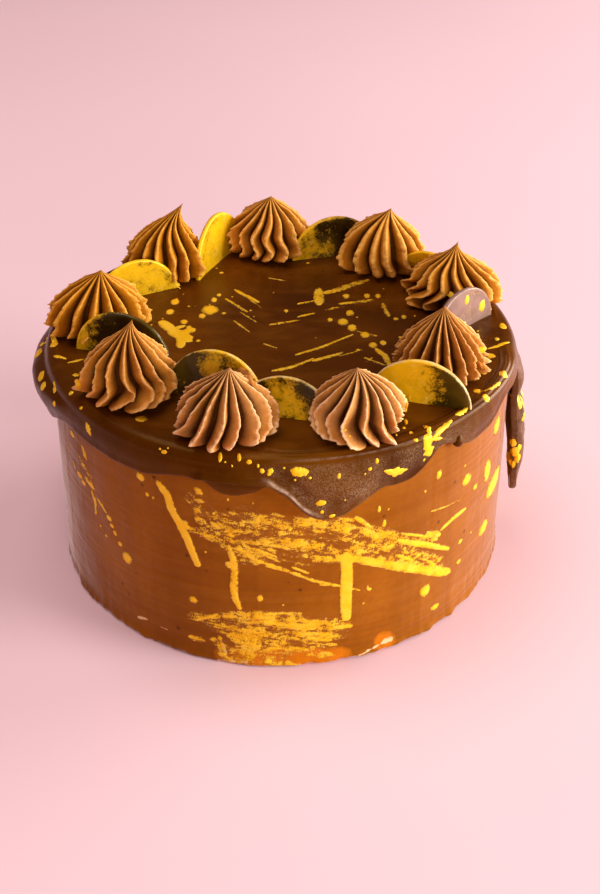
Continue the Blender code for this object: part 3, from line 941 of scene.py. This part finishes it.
def add_disc(number, disc, finish):
    """Half a disc above the ganache: front and back faces fan out from the middle of its
    foot and meet at a rounded rim."""
    angle, distance, heading, lean, shows = disc
    low = DISC_RADIUS - shows
    start = math.asin(low / DISC_RADIUS)
    sweep = np.linspace(start, math.pi - start, DISC_ARC)
    rng = np.random.default_rng(600 + number)
    rough = 1 + 0.006 * fractal(np.linspace(0, 9, DISC_ARC), np.full(DISC_ARC, number), 610)
    share = np.sin(np.linspace(0, math.pi / 2, DISC_RINGS))[:, None]
    y = DISC_RADIUS * np.cos(sweep) * rough * share
    z = (DISC_RADIUS * np.sin(sweep) * rough - low) * share
    away = np.clip(1 - np.hypot(y, z + low) / DISC_RADIUS, 0, 1)
    half = DISC_THICK / 2 * np.sqrt(1 - (1 - smooth(away / DISC_BEVEL) ** 0.5) ** 2)
    dish = DISC_DISH * (1 - away) ** 3 * (1 + 0.5 * np.sin(2 * sweep + rng.uniform(0, 6)))
    warp = DISC_WARP * fractal(y / 0.006 + 20, z / 0.006 + 20, 620 + number)
    front = np.stack([half + dish + warp, y, z], -1).reshape(-1, 3)
    back = np.stack([dish + warp - half, y, z], -1).reshape(-1, 3)
    count = len(front)
    faces = []
    for a, b, c, d in grid_faces(DISC_RINGS, DISC_ARC, wrap=False):
        faces += [(a, d, c, b), (count + b, count + c, count + d, count + a)]
    last_ring = range(count - DISC_ARC, count - 1)
    faces += [(i, count + i, count + i + 1, i + 1) for i in last_ring]
    points = np.vstack([front, back])
    points[:, 2] -= FOOT_SINK
    tilt = Matrix.Rotation(math.radians(-lean), 4, "Y")
    turn = Matrix.Rotation(math.radians(heading), 4, "Z")
    a = math.radians(angle)
    spot = Vector((distance * math.cos(a), distance * math.sin(a), SHEET_TOP))
    matrix = np.array(Matrix.Translation(spot) @ turn @ tilt)
    points = points @ matrix[:3, :3].T + matrix[:3, 3]
    cover, slope, rim, glare_share, heart, pale_reach = GILDING[number - 1]
    middle = np.exp(-((y / DISC_RADIUS) ** 2 + ((z + low) / DISC_RADIUS - HEART_HEIGHT) ** 2) / 0.16)
    gilt = cover + slope * -(y / DISC_RADIUS) * 0.6 + rim * smooth(1 - away / 0.06) + heart * middle
    marks = dict(
        gilt=np.tile(np.clip(gilt, 0, 1.3).ravel(), 2),
        painted_glare=np.full(len(points), glare_share),
        pale_rim=np.tile((pale_reach * smooth(1 - away / 0.05)).ravel(), 2),
    )
    made = mesh_object(f"gilded_disc_{number}", points, faces, finish, "gilded_chocolate", **marks)
    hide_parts(f"disc_{number}")
    return made


# Gold paint on the wall

# Strokes on the wall by photograph pixels, read one by one: width in pixels, cover, then the x and
# y of each point of the path. A cover of 1 is solid paint and less is drier brushing.
WALL_STROKES = (
    (7, 1.0, 160, 483, 168, 494, 172, 508, 180, 522, 188, 538, 198, 563), (9, 0.9, 180, 521, 188, 526),
    (8, 0.66, 196, 488, 201, 492), (8, 0.66, 197, 499, 203, 501), (7, 0.7, 195, 508, 199, 510),
    (9, 0.68, 197, 518, 205, 522), (8, 0.64, 212, 523, 220, 528), (16, 0.47, 192, 528, 240, 532),
    (10, 0.62, 203, 533, 216, 539, 232, 549), (5, 0.75, 205, 535, 215, 536),
    (7, 0.8, 229, 546, 234, 560, 235, 571, 234, 585, 235, 597, 240, 607), (10, 0.62, 228, 563, 236, 566),
    (16, 0.5, 226, 522, 270, 526), (8, 0.64, 242, 522, 268, 522), (5, 0.62, 272, 514, 284, 516),
    (10, 0.46, 230, 514, 250, 512), (8, 0.52, 285, 523, 310, 524),
    (12, 0.62, 296, 521, 325, 524, 353, 527), (12, 0.55, 310, 519, 345, 520),
    (5, 0.8, 355, 517, 362, 521, 369, 526), (9, 0.58, 340, 519, 352, 520),
    (15, 0.66, 362, 529, 380, 534, 400, 540), (9, 0.56, 355, 528, 382, 530),
    (6, 0.84, 398, 540, 425, 545, 449, 549), (3, 0.8, 401, 533, 432, 537), (9, 0.72, 428, 534, 440, 535),
    (12, 0.46, 400, 536, 436, 541), (4.5, 0.85, 442, 530, 454, 519, 466, 509),
    (2, 0.6, 432, 512, 462, 500), (10, 0.64, 232, 541, 265, 541, 292, 544, 320, 548, 339, 553),
    (9, 0.6, 262, 538, 300, 542, 330, 548), (16, 0.58, 234, 548, 262, 553), (9, 0.66, 238, 548, 250, 556),
    (4, 0.72, 250, 557, 285, 570, 315, 581, 339, 586), (3, 0.72, 266, 566, 300, 574),
    (3, 0.78, 258, 549, 276, 557), (2.5, 0.72, 262, 554, 280, 562), (3, 0.78, 292, 567, 308, 573),
    (3, 0.7, 320, 585, 340, 586), (2.5, 0.72, 340, 586, 360, 590), (12, 0.48, 240, 560, 258, 562),
    (10, 0.95, 346, 556, 347, 575, 346, 595, 346, 617), (10, 0.8, 338, 557, 357, 559),
    (14, 0.5, 345, 545, 372, 556), (10, 0.78, 349, 557, 380, 563, 412, 568, 438, 572, 449, 571),
    (14, 0.52, 352, 553, 400, 562), (7, 0.85, 438, 574, 450, 572), (4, 0.78, 396, 555, 412, 560),
    (6, 0.62, 370, 545, 390, 547), (7, 0.62, 428, 562, 438, 568), (12, 0.44, 404, 551, 440, 560),
    (20, 0.6, 228, 616, 270, 618), (10, 0.55, 232, 612, 300, 614),
    (10, 0.68, 265, 622, 310, 627, 350, 626), (14, 0.54, 255, 616, 345, 622),
    (14, 0.56, 190, 615, 218, 617), (4, 0.8, 198, 619, 218, 613), (8, 0.66, 191, 636, 204, 639),
    (7, 0.66, 212, 638, 216, 638), (20, 0.7, 232, 634, 252, 640, 248, 656),
    (12, 0.66, 240, 630, 262, 632), (18, 0.52, 222, 648, 258, 652), (14, 0.52, 256, 640, 300, 640),
    (12, 0.52, 296, 640, 334, 646), (6, 0.64, 300, 636, 330, 640), (9, 0.44, 262, 652, 300, 652),
    (5, 0.56, 66, 438, 69, 452), (8, 0.74, 81, 447, 85, 458), (5, 0.6, 73, 461, 75, 470),
    (6, 0.66, 82, 464, 87, 474), (7, 0.74, 85, 478, 92, 488), (5, 0.72, 91, 492, 93, 500),
    (5, 0.72, 94, 499, 95, 514), (5, 0.74, 97, 499, 106, 512), (16, 0.44, 76, 446, 92, 488),
    (30, 0.46, 225, 515, 300, 530), (34, 0.46, 232, 536, 335, 556), (28, 0.45, 300, 520, 400, 545),
    (40, 0.46, 215, 620, 340, 630), (26, 0.44, 350, 540, 440, 565), (26, 0.44, 192, 495, 240, 545),
    (16, 0.56, 220, 638, 230, 660), (12, 0.5, 232, 656, 300, 664), (12, 0.58, 258, 632, 330, 634),
    (22, 0.5, 240, 646, 292, 650), (11, 0.52, 298, 648, 332, 656), (16, 0.6, 228, 626, 262, 630),
)

# Round spots on the wall: pixel, then half width and half height in pixels
WALL_SPOTS = (
    (425, 591, 5, 5), (435, 607, 4, 2.5), (384, 523, 2, 3.5), (379, 509, 1.5, 3), (440, 475, 2.5, 4),
    (426, 492, 1.2, 1.2), (468, 480, 4, 5), (476, 487, 2, 2.5), (494, 482, 4, 8), (488, 471, 2.5, 9),
    (497, 425, 2.2, 7), (484, 528, 3.5, 5), (461, 542, 2, 2), (459, 562, 2, 2), (434, 566, 2.5, 2.5),
    (260, 598, 3.2, 3.2), (71, 434, 2, 2.5), (79, 475, 2.5, 2.5), (83, 483, 2, 2.5), (109, 518, 2.5, 2.5),
    (112, 526, 2, 2), (115, 533, 2, 2.5), (106, 536, 1.2, 1.2), (120, 544, 2, 2), (100, 526, 1, 1),
    (194, 599, 4, 3), (127, 558, 4.5, 5.5), (141, 476, 4, 4), (148, 494, 2, 2), (236, 479, 2, 1.5),
    (230, 478, 1.5, 1.5), (290, 529, 2, 2), (280, 532, 2, 1.5), (214, 513, 1.5, 1.5),
    (226, 531, 1.8, 1.2), (418, 556, 2, 1.5), (404, 548, 1.5, 1.5), (206, 551, 1.2, 1.2),
    (283, 605, 1.2, 1.0), (369, 589, 2, 1.5), (367, 587, 1, 2.5), (154, 497, 1.2, 1.2),
    (176, 508, 1.2, 1.2), (187, 526, 2, 2), (253, 503, 1.2, 1.2), (388, 509, 1.0, 1.0),
    (452, 521, 1.5, 1.5), (376, 537, 3, 2), (390, 546, 4, 2), (358, 553, 3, 1.5), (346, 530, 5, 3),
    (363, 603, 1, 1), (428, 543, 1.5, 1.5), (228, 499, 1.5, 1.5), (265, 479, 1.2, 1.2), (472, 533, 1, 1),
    (466, 466, 1, 1),
)
PAINT_CELL = 0.00040
PAINT_THICK = 0.00018
PAINT_FLOOR = -0.30
BACK_STROKES = 46
BACK_SPATTER = 170
WALL_PIXEL = 0.00034
SMALL_SPOT = 0.0004
FILM_THICK = 0.00009
FILM_SINK = 0.00004
BRISTLE_WIDE = 0.00060
BRISTLE_LONG = 0.006
STROKE_REACH = 1.6
WALL_WIDEN = 1.12
PAINT_FROM = 0.0006
SEED_BRISTLES = 730


class Paint:
    """A field over a flat grid in metres, above 0 where paint covers."""

    def __init__(self, u, v, rough):
        self.u, self.v, self.rough = u, v, rough
        self.field = np.full(rough.shape, -1.0)

    def window(self, low, high):
        """The index of the field inside a box, and u and v there."""
        cols = np.flatnonzero((self.u > low[0]) & (self.u < high[0]))
        rows = np.flatnonzero((self.v > low[1]) & (self.v < high[1]))
        return np.ix_(rows, cols), self.u[cols][None, :], self.v[rows][:, None]

    def lay(self, inside, level):
        self.field[inside] = np.maximum(self.field[inside], np.maximum(level, -1))

    def stroke(self, path, half_width, cover):
        """Lays a path, which thins at its ends. A drier stroke breaks up into bristle lines."""
        reach, dry = half_width * STROKE_REACH, 1 - cover
        for k, (a, b) in enumerate(zip(path, path[1:])):
            low = min(a[0], b[0]) - reach, min(a[1], b[1]) - reach
            high = max(a[0], b[0]) + reach, max(a[1], b[1]) + reach
            inside, u, v = self.window(low, high)
            du, dv = b[0] - a[0], b[1] - a[1]
            length = max(math.hypot(du, dv), 1e-6)
            from_u, from_v = u - a[0], v - a[1]
            along = np.clip((from_u * du + from_v * dv) / length**2, 0, 1)
            near = np.hypot(from_u - along * du, from_v - along * dv)
            across = (from_u * dv - from_v * du) / length
            total = (k + along) / (len(path) - 1)
            taper = 1 - (0.15 if cover > 0.9 else 0.4) * np.abs(2 * total - 1) ** 4
            lines = across / BRISTLE_WIDE + 60, along * length / BRISTLE_LONG + 60 + 7 * k
            bristle = noise(*lines, SEED_BRISTLES)
            level = 1.35 * (cover - 0.50) - 0.5 * (near / (half_width * taper)) ** 3
            level += (0.08 + 0.75 * dry) * self.rough[inside] + 0.50 * dry * bristle
            self.lay(inside, level)

    def spot(self, centre, side, high):
        x, y = centre
        inside, u, v = self.window((x - 2 * side, y - 2 * high), (x + 2 * side, y + 2 * high))
        near = np.hypot((u - x) / side, (v - y) / high)
        self.lay(inside, 0.62 * (1 - near**2) - 0.06 * self.rough[inside])

    def skin(self, name, place, finish, slot):
        """A thin skin round the painted stretches. It rises where the paint is thick, and its
        rim dips under what carries it. place gives points and attributes."""
        near = self.field > PAINT_FLOOR
        rows, cols = np.nonzero(near[:-1, :-1] | near[1:, :-1] | near[:-1, 1:] | near[1:, 1:])
        width = len(self.u)
        low = rows * width + cols
        quads = np.stack([low, low + 1, low + width + 1, low + width], 1)
        used, faces = np.unique(quads, return_inverse=True)
        faces = faces.reshape(quads.shape).tolist()
        level = self.field.ravel()[used]
        film = FILM_THICK * smooth((level - PAINT_FLOOR) / 0.10) - FILM_SINK
        lift = film + PAINT_THICK * smooth((level + 0.02) / 0.40)
        points, marks = place(self.u[used % width], self.v[used // width], lift)
        mesh_object(name, points, faces, finish, slot, paint=np.maximum(level, -0.6), **marks)


def add_wall_paint(finish):
    around = math.tau * CAKE_RADIUS
    u = np.arange(-around / 2, around / 2, PAINT_CELL)
    v = np.arange(PAINT_FROM, SHEET_TOP - 0.004, PAINT_CELL)
    grid_u, grid_v = np.meshgrid(u, v)
    coarse = fractal(grid_u / 0.0040 + 300, grid_v / 0.0017 + 60, 700, 1024, 2)
    fine = noise(grid_u / 0.0014 + 500, grid_v / 0.0007 + 80, 720)
    paint = Paint(u, v, 0.62 * coarse + 0.38 * fine)
    for width, cover, *path in WALL_STROKES:
        path = [wall_at_pixel(*p) for p in pairs(path)]
        paint.stroke(path, width * 0.5 * WALL_PIXEL * WALL_WIDEN, cover)
    for x, y, wide, tall in WALL_SPOTS:
        c = wall_at_pixel(x, y)
        side = abs(wall_at_pixel(x + wide, y)[0] - wall_at_pixel(x - wide, y)[0]) / 2
        high = abs(wall_at_pixel(x, y + tall)[1] - c[1])
        paint.spot(c, max(side, SMALL_SPOT), max(high, SMALL_SPOT))
    rng = np.random.default_rng(7)
    for _ in range(BACK_STROKES):
        start = np.array([math.radians(rng.uniform(2, 178)) * CAKE_RADIUS, rng.uniform(0.004, 0.066)])
        tilt = rng.normal(0, 0.35) + (math.pi / 2 if rng.uniform() < 0.2 else 0)
        end = start + rng.uniform(0.006, 0.032) * np.array([math.cos(tilt), math.sin(tilt)])
        paint.stroke([start, end], rng.uniform(0.0006, 0.0024), rng.uniform(0.52, 0.95))
    for _ in range(BACK_SPATTER):
        c = (math.radians(rng.uniform(0, 180)) * CAKE_RADIUS, rng.uniform(0.004, 0.074))
        size = SMALL_SPOT + 0.0011 * rng.uniform() ** 3
        paint.spot(c, size, size * rng.uniform(0.8, 1.5))
    drop = full_drape(u / CAKE_RADIUS)[0]
    paint.field[grid_v > (SHEET_TOP - drop)[None, :] + 0.001] = -1.0

    def place(u, height, lift):
        angle = u / CAKE_RADIUS
        return polar(angle, wall_detail(angle, height) + lift, height), wall_marks(angle, height)

    paint.skin("gold_paint_wall", place, finish, "buttercream")


# Gold paint on the ganache

# Streaks on the top by photograph pixels, written as the strokes are
TOP_STREAKS = (
    (10, 0.95, 163, 323, 172, 330, 181, 338), (9, 0.92, 172, 332, 182, 334, 191, 330),
    (8, 0.9, 180, 336, 181, 342, 180, 347), (5, 0.8, 176, 328, 184, 326), (8, 0.88, 182, 338, 190, 341),
    (13, 0.95, 174, 332, 186, 338), (5, 0.78, 235, 290, 246, 296, 258, 302),
    (4.5, 0.7, 226, 299, 236, 305, 247, 312), (3, 0.66, 234, 321, 249, 332),
    (3, 0.66, 268, 278, 286, 281), (4, 0.66, 270, 325, 300, 320), (3, 0.64, 264, 344, 277, 348),
    (5, 0.68, 273, 371, 292, 367, 313, 359), (5, 0.7, 313, 361, 342, 353),
    (4, 0.74, 296, 355, 322, 347, 352, 335), (10, 0.72, 319, 289, 319, 304),
    (9, 0.7, 325, 293, 346, 287, 367, 280), (6, 0.64, 340, 304, 372, 300), (4, 0.62, 298, 304, 313, 301),
    (4, 0.62, 298, 317, 315, 313), (6, 0.74, 376, 349, 384, 355, 393, 361), (6, 0.62, 383, 304, 389, 316),
    (4, 0.62, 365, 358, 384, 365), (5, 0.56, 352, 330, 376, 336), (3, 0.56, 340, 356, 362, 350),
    (5, 0.5, 326, 310, 345, 306), (3, 0.52, 250, 300, 262, 308), (3, 0.52, 240, 312, 256, 322),
)

# Streaks on the rim and the drape: width in pixels, then the x and y of each point
EDGE_STREAKS = (
    (4, 487, 349, 498, 346, 510, 342), (3, 484, 391, 492, 388, 501, 382),
    (4, 455, 415, 464, 411, 468, 408), (4, 53, 356, 67, 359), (3, 67, 363, 84, 359),
    (6, 86, 422, 91, 436, 97, 451), (10, 429, 433, 427, 444, 430, 456),
    (4.5, 430, 442, 440, 431, 452, 420), (3.5, 427, 440, 424, 425), (3, 430, 440, 443, 438),
    (6, 384, 471, 396, 473, 408, 469), (7, 290, 470, 300, 473, 309, 471), (4, 272, 468, 268, 476),
)

# Spots: pixel, then half width and half height in pixels
TOP_SPOTS = (
    (177, 287, 4.5, 4), (175, 302, 4.5, 4), (170, 312, 4.5, 3.5), (184, 322, 4, 3), (189, 328, 3.5, 3),
    (202, 316, 4, 3), (210, 310, 9, 6), (214, 300, 3.5, 3), (219, 295, 2.5, 2), (286, 311, 2.5, 2),
    (346, 296, 4, 3), (367, 296, 3.5, 3), (378, 296, 3, 3), (350, 313, 4.5, 4), (343, 322, 6, 4.5),
    (330, 320, 3, 2.5), (352, 328, 5, 4.5), (365, 335, 5, 4), (373, 345, 4.5, 3.5), (383, 343, 3.5, 3),
    (404, 317, 3, 2.5), (396, 319, 3, 2), (482, 350, 5, 4), (491, 356, 5, 3), (503, 326, 4, 4),
    (497, 339, 2.5, 2), (503, 373, 5, 3.5), (484, 373, 3, 2), (478, 391, 5, 3), (486, 398, 5, 3.5),
    (54, 344, 4.5, 4), (76, 375, 4, 2), (78, 385, 3.5, 3.5), (71, 393, 3, 2.5), (81, 408, 2, 2),
    (141, 419, 7, 3.5), (164, 452, 3.5, 2.5), (220, 457, 2.5, 6), (239, 457, 2.5, 5), (249, 462, 3, 3),
    (262, 471, 3, 3), (300, 472, 6, 6), (321, 503, 6, 3.5), (322, 512, 2.5, 2), (332, 516, 4, 2),
    (339, 476, 2, 3.5), (370, 469, 2.5, 2), (377, 461, 2, 3.5), (396, 471, 6, 4), (513, 443, 4, 4.5),
    (515, 452, 5, 6), (509, 457, 4, 6), (518, 459, 4, 5), (512, 464, 4, 4), (519, 448, 3, 4),
    (38, 353, 5, 5), (506, 449, 3, 3.5), (407, 408, 2, 7), (406, 422, 2.2, 3.5), (409, 398, 1.8, 4),
    (41, 376, 4, 6), (43, 386, 3.5, 5), (55, 388, 2.5, 6), (54, 404, 2, 3), (160, 449, 1.5, 1.5),
    (168, 448, 1.2, 1.2), (345, 430, 2, 1.5), (350, 436, 1.5, 1.2), (411, 433, 2.5, 2),
    (404, 428, 2, 1.5), (416, 440, 3, 2), (396, 435, 1.5, 1.5), (467, 300, 3, 5), (482, 306, 4, 6),
    (452, 296, 2.5, 3), (424, 460, 1.5, 1.5), (310, 478, 2, 1.5), (295, 480, 1.5, 1.5),
    (284, 468, 1.5, 1.5), (258, 466, 1.5, 2.5), (225, 462, 1.2, 1.2), (232, 466, 1, 1.5),
    (365, 474, 1.2, 1.2), (345, 500, 1.2, 1),
)
TOP_CELL = 0.00034
PIXEL = 0.00033
SNAP_FROM = 0.0025
SNAP_REACH = 0.006
SNAP_MISS = 0.0008
TOP_MARGIN = 0.0052
LEAST_TURNED = 0.35
SPOT_SPOKES = 24
SPOT_RINGS = 5
STREAK_STEPS = 30
STREAK_LANES = 7
SPOT_THICK = 0.00030
BACK_SPOTS = 90
DRAPE_SPOTS = 16
FAR_TOP_SPOTS = 60


class Surface:
    """What shows of the object, for laying paint on it."""

    def __init__(self, pieces):
        self.trees = []
        for piece in pieces:
            mesh = piece.data
            verts = [v.co for v in mesh.vertices]
            self.trees.append(BVHTree.FromPolygons(verts, [p.vertices for p in mesh.polygons]))

    def cast(self, start, ray, reach=10.0):
        best = None
        for tree in self.trees:
            hit, normal, _, far = tree.ray_cast(start, ray, reach)
            if hit and (best is None or far < best[2]):
                best = (hit, normal if normal.dot(ray) < 0 else -normal, far)
        return best

    def snap(self, point, normal):
        """The surface under a point, looked for along a normal."""
        hit = self.cast(point + normal * SNAP_FROM, -normal, SNAP_REACH)
        return hit[:2] if hit else (point - normal * SNAP_MISS, normal)


class Splashes:
    """Collects many splashes of paint into one mesh."""

    def __init__(self, surface):
        self.surface = surface
        self.verts, self.faces, self.paint = [], [], []
        self.rng = np.random.default_rng(8)

    def lay(self, wanted, columns, wrap):
        """A grid of points, each with a normal to find the surface along and a lift from it."""
        self.faces += grid_faces(len(wanted) // columns, columns, wrap, len(self.verts))
        for point, normal, lift in wanted:
            at, facing = self.surface.snap(point, normal)
            self.verts.append(at + facing * lift)
            self.paint.append(0.22 + 0.4 * max(0.0, lift / SPOT_THICK))

    def spot(self, hit, wide, tall, side=None):
        """A flat, nearly round drop, wide along side, which is level if it isn't given."""
        rng, (centre, normal, _) = self.rng, hit
        side = side or Vector((0, 0, 1)).cross(normal).normalized()
        up = normal.cross(side)
        spokes = np.arange(SPOT_SPOKES) / SPOT_SPOKES * math.tau
        waves = (rng.uniform(0, 0.07) * np.sin(k * spokes + rng.uniform(0, 6)) for k in (2, 3, 5))
        ragged = 1 + sum(waves)
        wanted = []
        for ring in range(SPOT_RINGS + 1):
            share = math.sin(ring / SPOT_RINGS * math.pi / 2)
            lift = SPOT_THICK * (max(math.cos(share * math.pi / 2), 0) ** 0.5 - 0.15)
            for spoke, far in zip(spokes, ragged):
                flat = side * (wide * share * far * math.cos(spoke))
                flat += up * (tall * share * far * math.sin(spoke))
                wanted.append((centre + flat, normal, lift))
        self.lay(wanted, SPOT_SPOKES, True)

    def streak(self, hits, half_width):
        """A tapered lick of paint along a path of hits."""
        spans = [(b[0] - a[0]).length for a, b in zip(hits, hits[1:])]
        phase = self.rng.uniform(0, 6, 4)
        wanted = []
        for step in range(STREAK_STEPS + 1):
            share = step / STREAK_STEPS
            want, index = share * sum(spans), 0
            while index < len(spans) - 1 and want > spans[index]:
                want -= spans[index]
                index += 1
            part = min(want / max(spans[index], 1e-9), 1.0)
            (a, normal_a, _), (b, normal_b, _) = hits[index : index + 2]
            centre, normal = a.lerp(b, part), normal_a.lerp(normal_b, part).normalized()
            across = (b - a).cross(normal).normalized()
            body = min(1.0, 4 * min(share, 1 - share) + 0.08) ** 0.7
            wobble = 1 + 0.20 * math.sin(9 * share + phase[0]) + 0.12 * math.sin(23 * share + phase[1])
            for lane in np.linspace(-1, 1, STREAK_LANES):
                ragged = 1 + 0.10 * math.sin(31 * share + phase[2 if lane > 0 else 3])
                reach = half_width * body * wobble * ragged * lane
                lift = SPOT_THICK * (math.cos(lane * math.pi / 2) ** 0.6 * body - 0.15)
                wanted.append((centre + across * reach, normal, lift))
        self.lay(wanted, STREAK_LANES, False)


def on_flat_top(hit):
    """Whether a hit lies on the ganache's top, inside its rim."""
    flat = abs(hit[0].z - SHEET_TOP) < 0.0008 and hit[1].z > 0.9
    return flat and hit[0].xy.length < CAKE_RADIUS - TOP_MARGIN


def drape_hit(surface, turn, height):
    """The drape seen from outside at a height, if it reaches down to there."""
    out = Vector((math.cos(turn), math.sin(turn), 0))
    hit = surface.cast(out * 0.2 + Vector((0, 0, height)), -out)
    return hit if hit and hit[0].xy.length > CAKE_RADIUS + 0.001 else None


def add_seen_spots(surface, paint, splashes):
    """The photograph's spots, in the paint field on the flat top and as splashes elsewhere."""
    across, upward = (camera_turn() @ Vector(axis) for axis in ((1, 0, 0), (0, 1, 0)))
    for px, py, wide, tall in TOP_SPOTS:
        hit = pixel_hit(surface, px, py)
        if not hit:
            continue
        normal = hit[1]
        side = (across - normal * across.dot(normal)).normalized()
        far = hit[2] / Vector(CAMERA_AT).length
        squash = max(abs(normal.cross(side).dot(upward)), LEAST_TURNED)
        narrow = max(abs(side.dot(across)), LEAST_TURNED)
        half_wide, half_tall = wide * PIXEL * far / narrow, tall * PIXEL * far / squash
        if on_flat_top(hit):
            paint.spot(hit[0][:2], half_wide, half_tall)
        else:
            splashes.spot(hit, half_wide, half_tall, side)


def add_top_paint(surface, finish):
    x = np.arange(-CAKE_RADIUS, CAKE_RADIUS, TOP_CELL)
    grid_x, grid_y = np.meshgrid(x, x)
    rough = 0.6 * fractal(grid_x / 0.0030 + 80, grid_y / 0.0030 + 80, 740, 1024, 2)
    rough += 0.4 * noise(grid_x / 0.0010 + 200, grid_y / 0.0010 + 80, 745)
    paint, splashes = Paint(x, x, rough), Splashes(surface)
    add_seen_spots(surface, paint, splashes)
    for width, cover, *path in TOP_STREAKS:
        hits = [pixel_hit(surface, *p) for p in pairs(path)]
        paint.stroke([h[0][:2] for h in hits if h], width * PIXEL * 0.62, cover)
    for width, *path in EDGE_STREAKS:
        hits = [pixel_hit(surface, *p) for p in pairs(path)]
        hits = [h for h in hits if h]
        if len(hits) > 1:
            splashes.streak(hits, width * PIXEL * 0.6)
    rng = np.random.default_rng(9)
    for _ in range(FAR_TOP_SPOTS):
        turn, far = math.radians(rng.uniform(-40, 200)), 0.078 * math.sqrt(rng.uniform(0.02, 1))
        size = 0.0003 + 0.0006 * rng.uniform() ** 3
        paint.spot((far * math.cos(turn), far * math.sin(turn)), size, size)
    for _ in range(BACK_SPOTS):
        turn = math.radians(rng.uniform(5, 185))
        hit = drape_hit(surface, turn, SHEET_TOP - 0.002 - 0.022 * rng.uniform() ** 1.5)
        if hit:
            size = SMALL_SPOT + 0.0014 * rng.uniform() ** 2
            splashes.spot(hit, size, size * rng.uniform(0.6, 1.8))
    for _ in range(DRAPE_SPOTS):
        turn = math.radians(TONGUE_ANGLE + rng.uniform(-6, 5))
        hit = drape_hit(surface, turn, SHEET_TOP - rng.uniform(0.022, 0.031))
        if hit:
            size = rng.uniform(0.0009, 0.0019)
            splashes.spot(hit, size, size * 1.2)
    paint.field[np.hypot(grid_x, grid_y) > CAKE_RADIUS - 0.0032] = -1.0

    def place(x, y, lift):
        return np.stack([x, y, top_height(x, y) + lift], axis=-1), {}

    paint.skin("gold_paint_top", place, finish, "ganache")
    verts, faces = splashes.verts, splashes.faces
    mesh_object("gold_splashes", verts, faces, finish, "gilded_chocolate", paint=splashes.paint)


# Floor, light and camera

def add_floor(finish):
    mesh = bpy.data.meshes.new("floor")
    corners = [(FLOOR_HALF * x, FLOOR_HALF * y, 0) for x, y in ((-1, -1), (1, -1), (1, 1), (-1, 1))]
    mesh.from_pydata(corners, [], [(0, 1, 2, 3)])
    mesh.materials.append(finish)
    floor = link("floor", mesh)


FLOOR_HALF = 6.0
LIGHTS_AIM = (0, 0, 0.05)
WORLD_COLOUR = (1.0, 0.60, 0.58, 1)
WORLD_STRENGTH = 0.09

# Round area lights towards the cake: name, place, width in metres, watts and colour
LIGHTS = (
    ("key_right", (1.50, -0.50, 0.36), 0.9, 41, (0.93, 1.0, 1.0)),
    ("edge_right", (1.25, 0.62, 0.30), 1.0, 25, (0.97, 1.0, 1.0)),
    ("front_soft", (0.20, -1.60, 0.60), 0.9, 9.5, (1.0, 0.96, 0.90)),
    ("top_soft", (-0.45, 0.10, 1.90), 1.6, 22, (1.0, 0.92, 0.93)),
)


def add_lights():
    for name, at, size, power, colour in LIGHTS:
        light = bpy.data.lights.new(name, "AREA")
        light.shape = "DISK"
        light.size = size
        light.energy = power
        light.color = colour
        made = link(name, light)
        made.location = at
        made.rotation_euler = (Vector(LIGHTS_AIM) - Vector(at)).to_track_quat("-Z", "Y").to_euler()
    world = bpy.data.worlds.new("studio")
    bpy.context.scene.world = world
    world.use_nodes = True
    back = world.node_tree.nodes["Background"]
    back.inputs["Color"].default_value = WORLD_COLOUR
    back.inputs["Strength"].default_value = WORLD_STRENGTH


def add_camera():
    camera = bpy.data.cameras.new("camera")
    camera.sensor_fit = "VERTICAL"
    camera.sensor_height = SENSOR
    camera.sensor_width = SENSOR
    camera.lens = FOCAL_PIXELS / PHOTO_HEIGHT * SENSOR
    made = link("camera", camera)
    made.matrix_world = Matrix.Translation(CAMERA_AT) @ camera_turn()
    bpy.context.scene.camera = made


def main():
    bpy.context.scene.view_settings.view_transform = "Standard"
    ganache, piped, gilded = ganache_finish(), piped_finish(), disc_finish()
    add_wall(buttercream_finish())
    sheet = add_sheet(ganache)
    add_under_tongue(ganache)
    swirls = [add_swirl(i, look, piped) for i, look in enumerate(SWIRLS, 1)]
    discs = [add_disc(i, disc, gilded) for i, disc in enumerate(DISCS, 1)]
    add_drip(Surface([sheet]), ganache)
    surface = Surface([sheet] + swirls + discs)
    add_smears(surface, piped)
    add_wall_paint(paint_finish("wall_gold_finish", buttercream_colour, buttercream_relief))
    add_top_paint(surface, paint_finish("top_gold_finish", lambda n: (ganache_colour(n), None)))
    add_floor(floor_finish())
    add_lights()
    add_camera()


main()
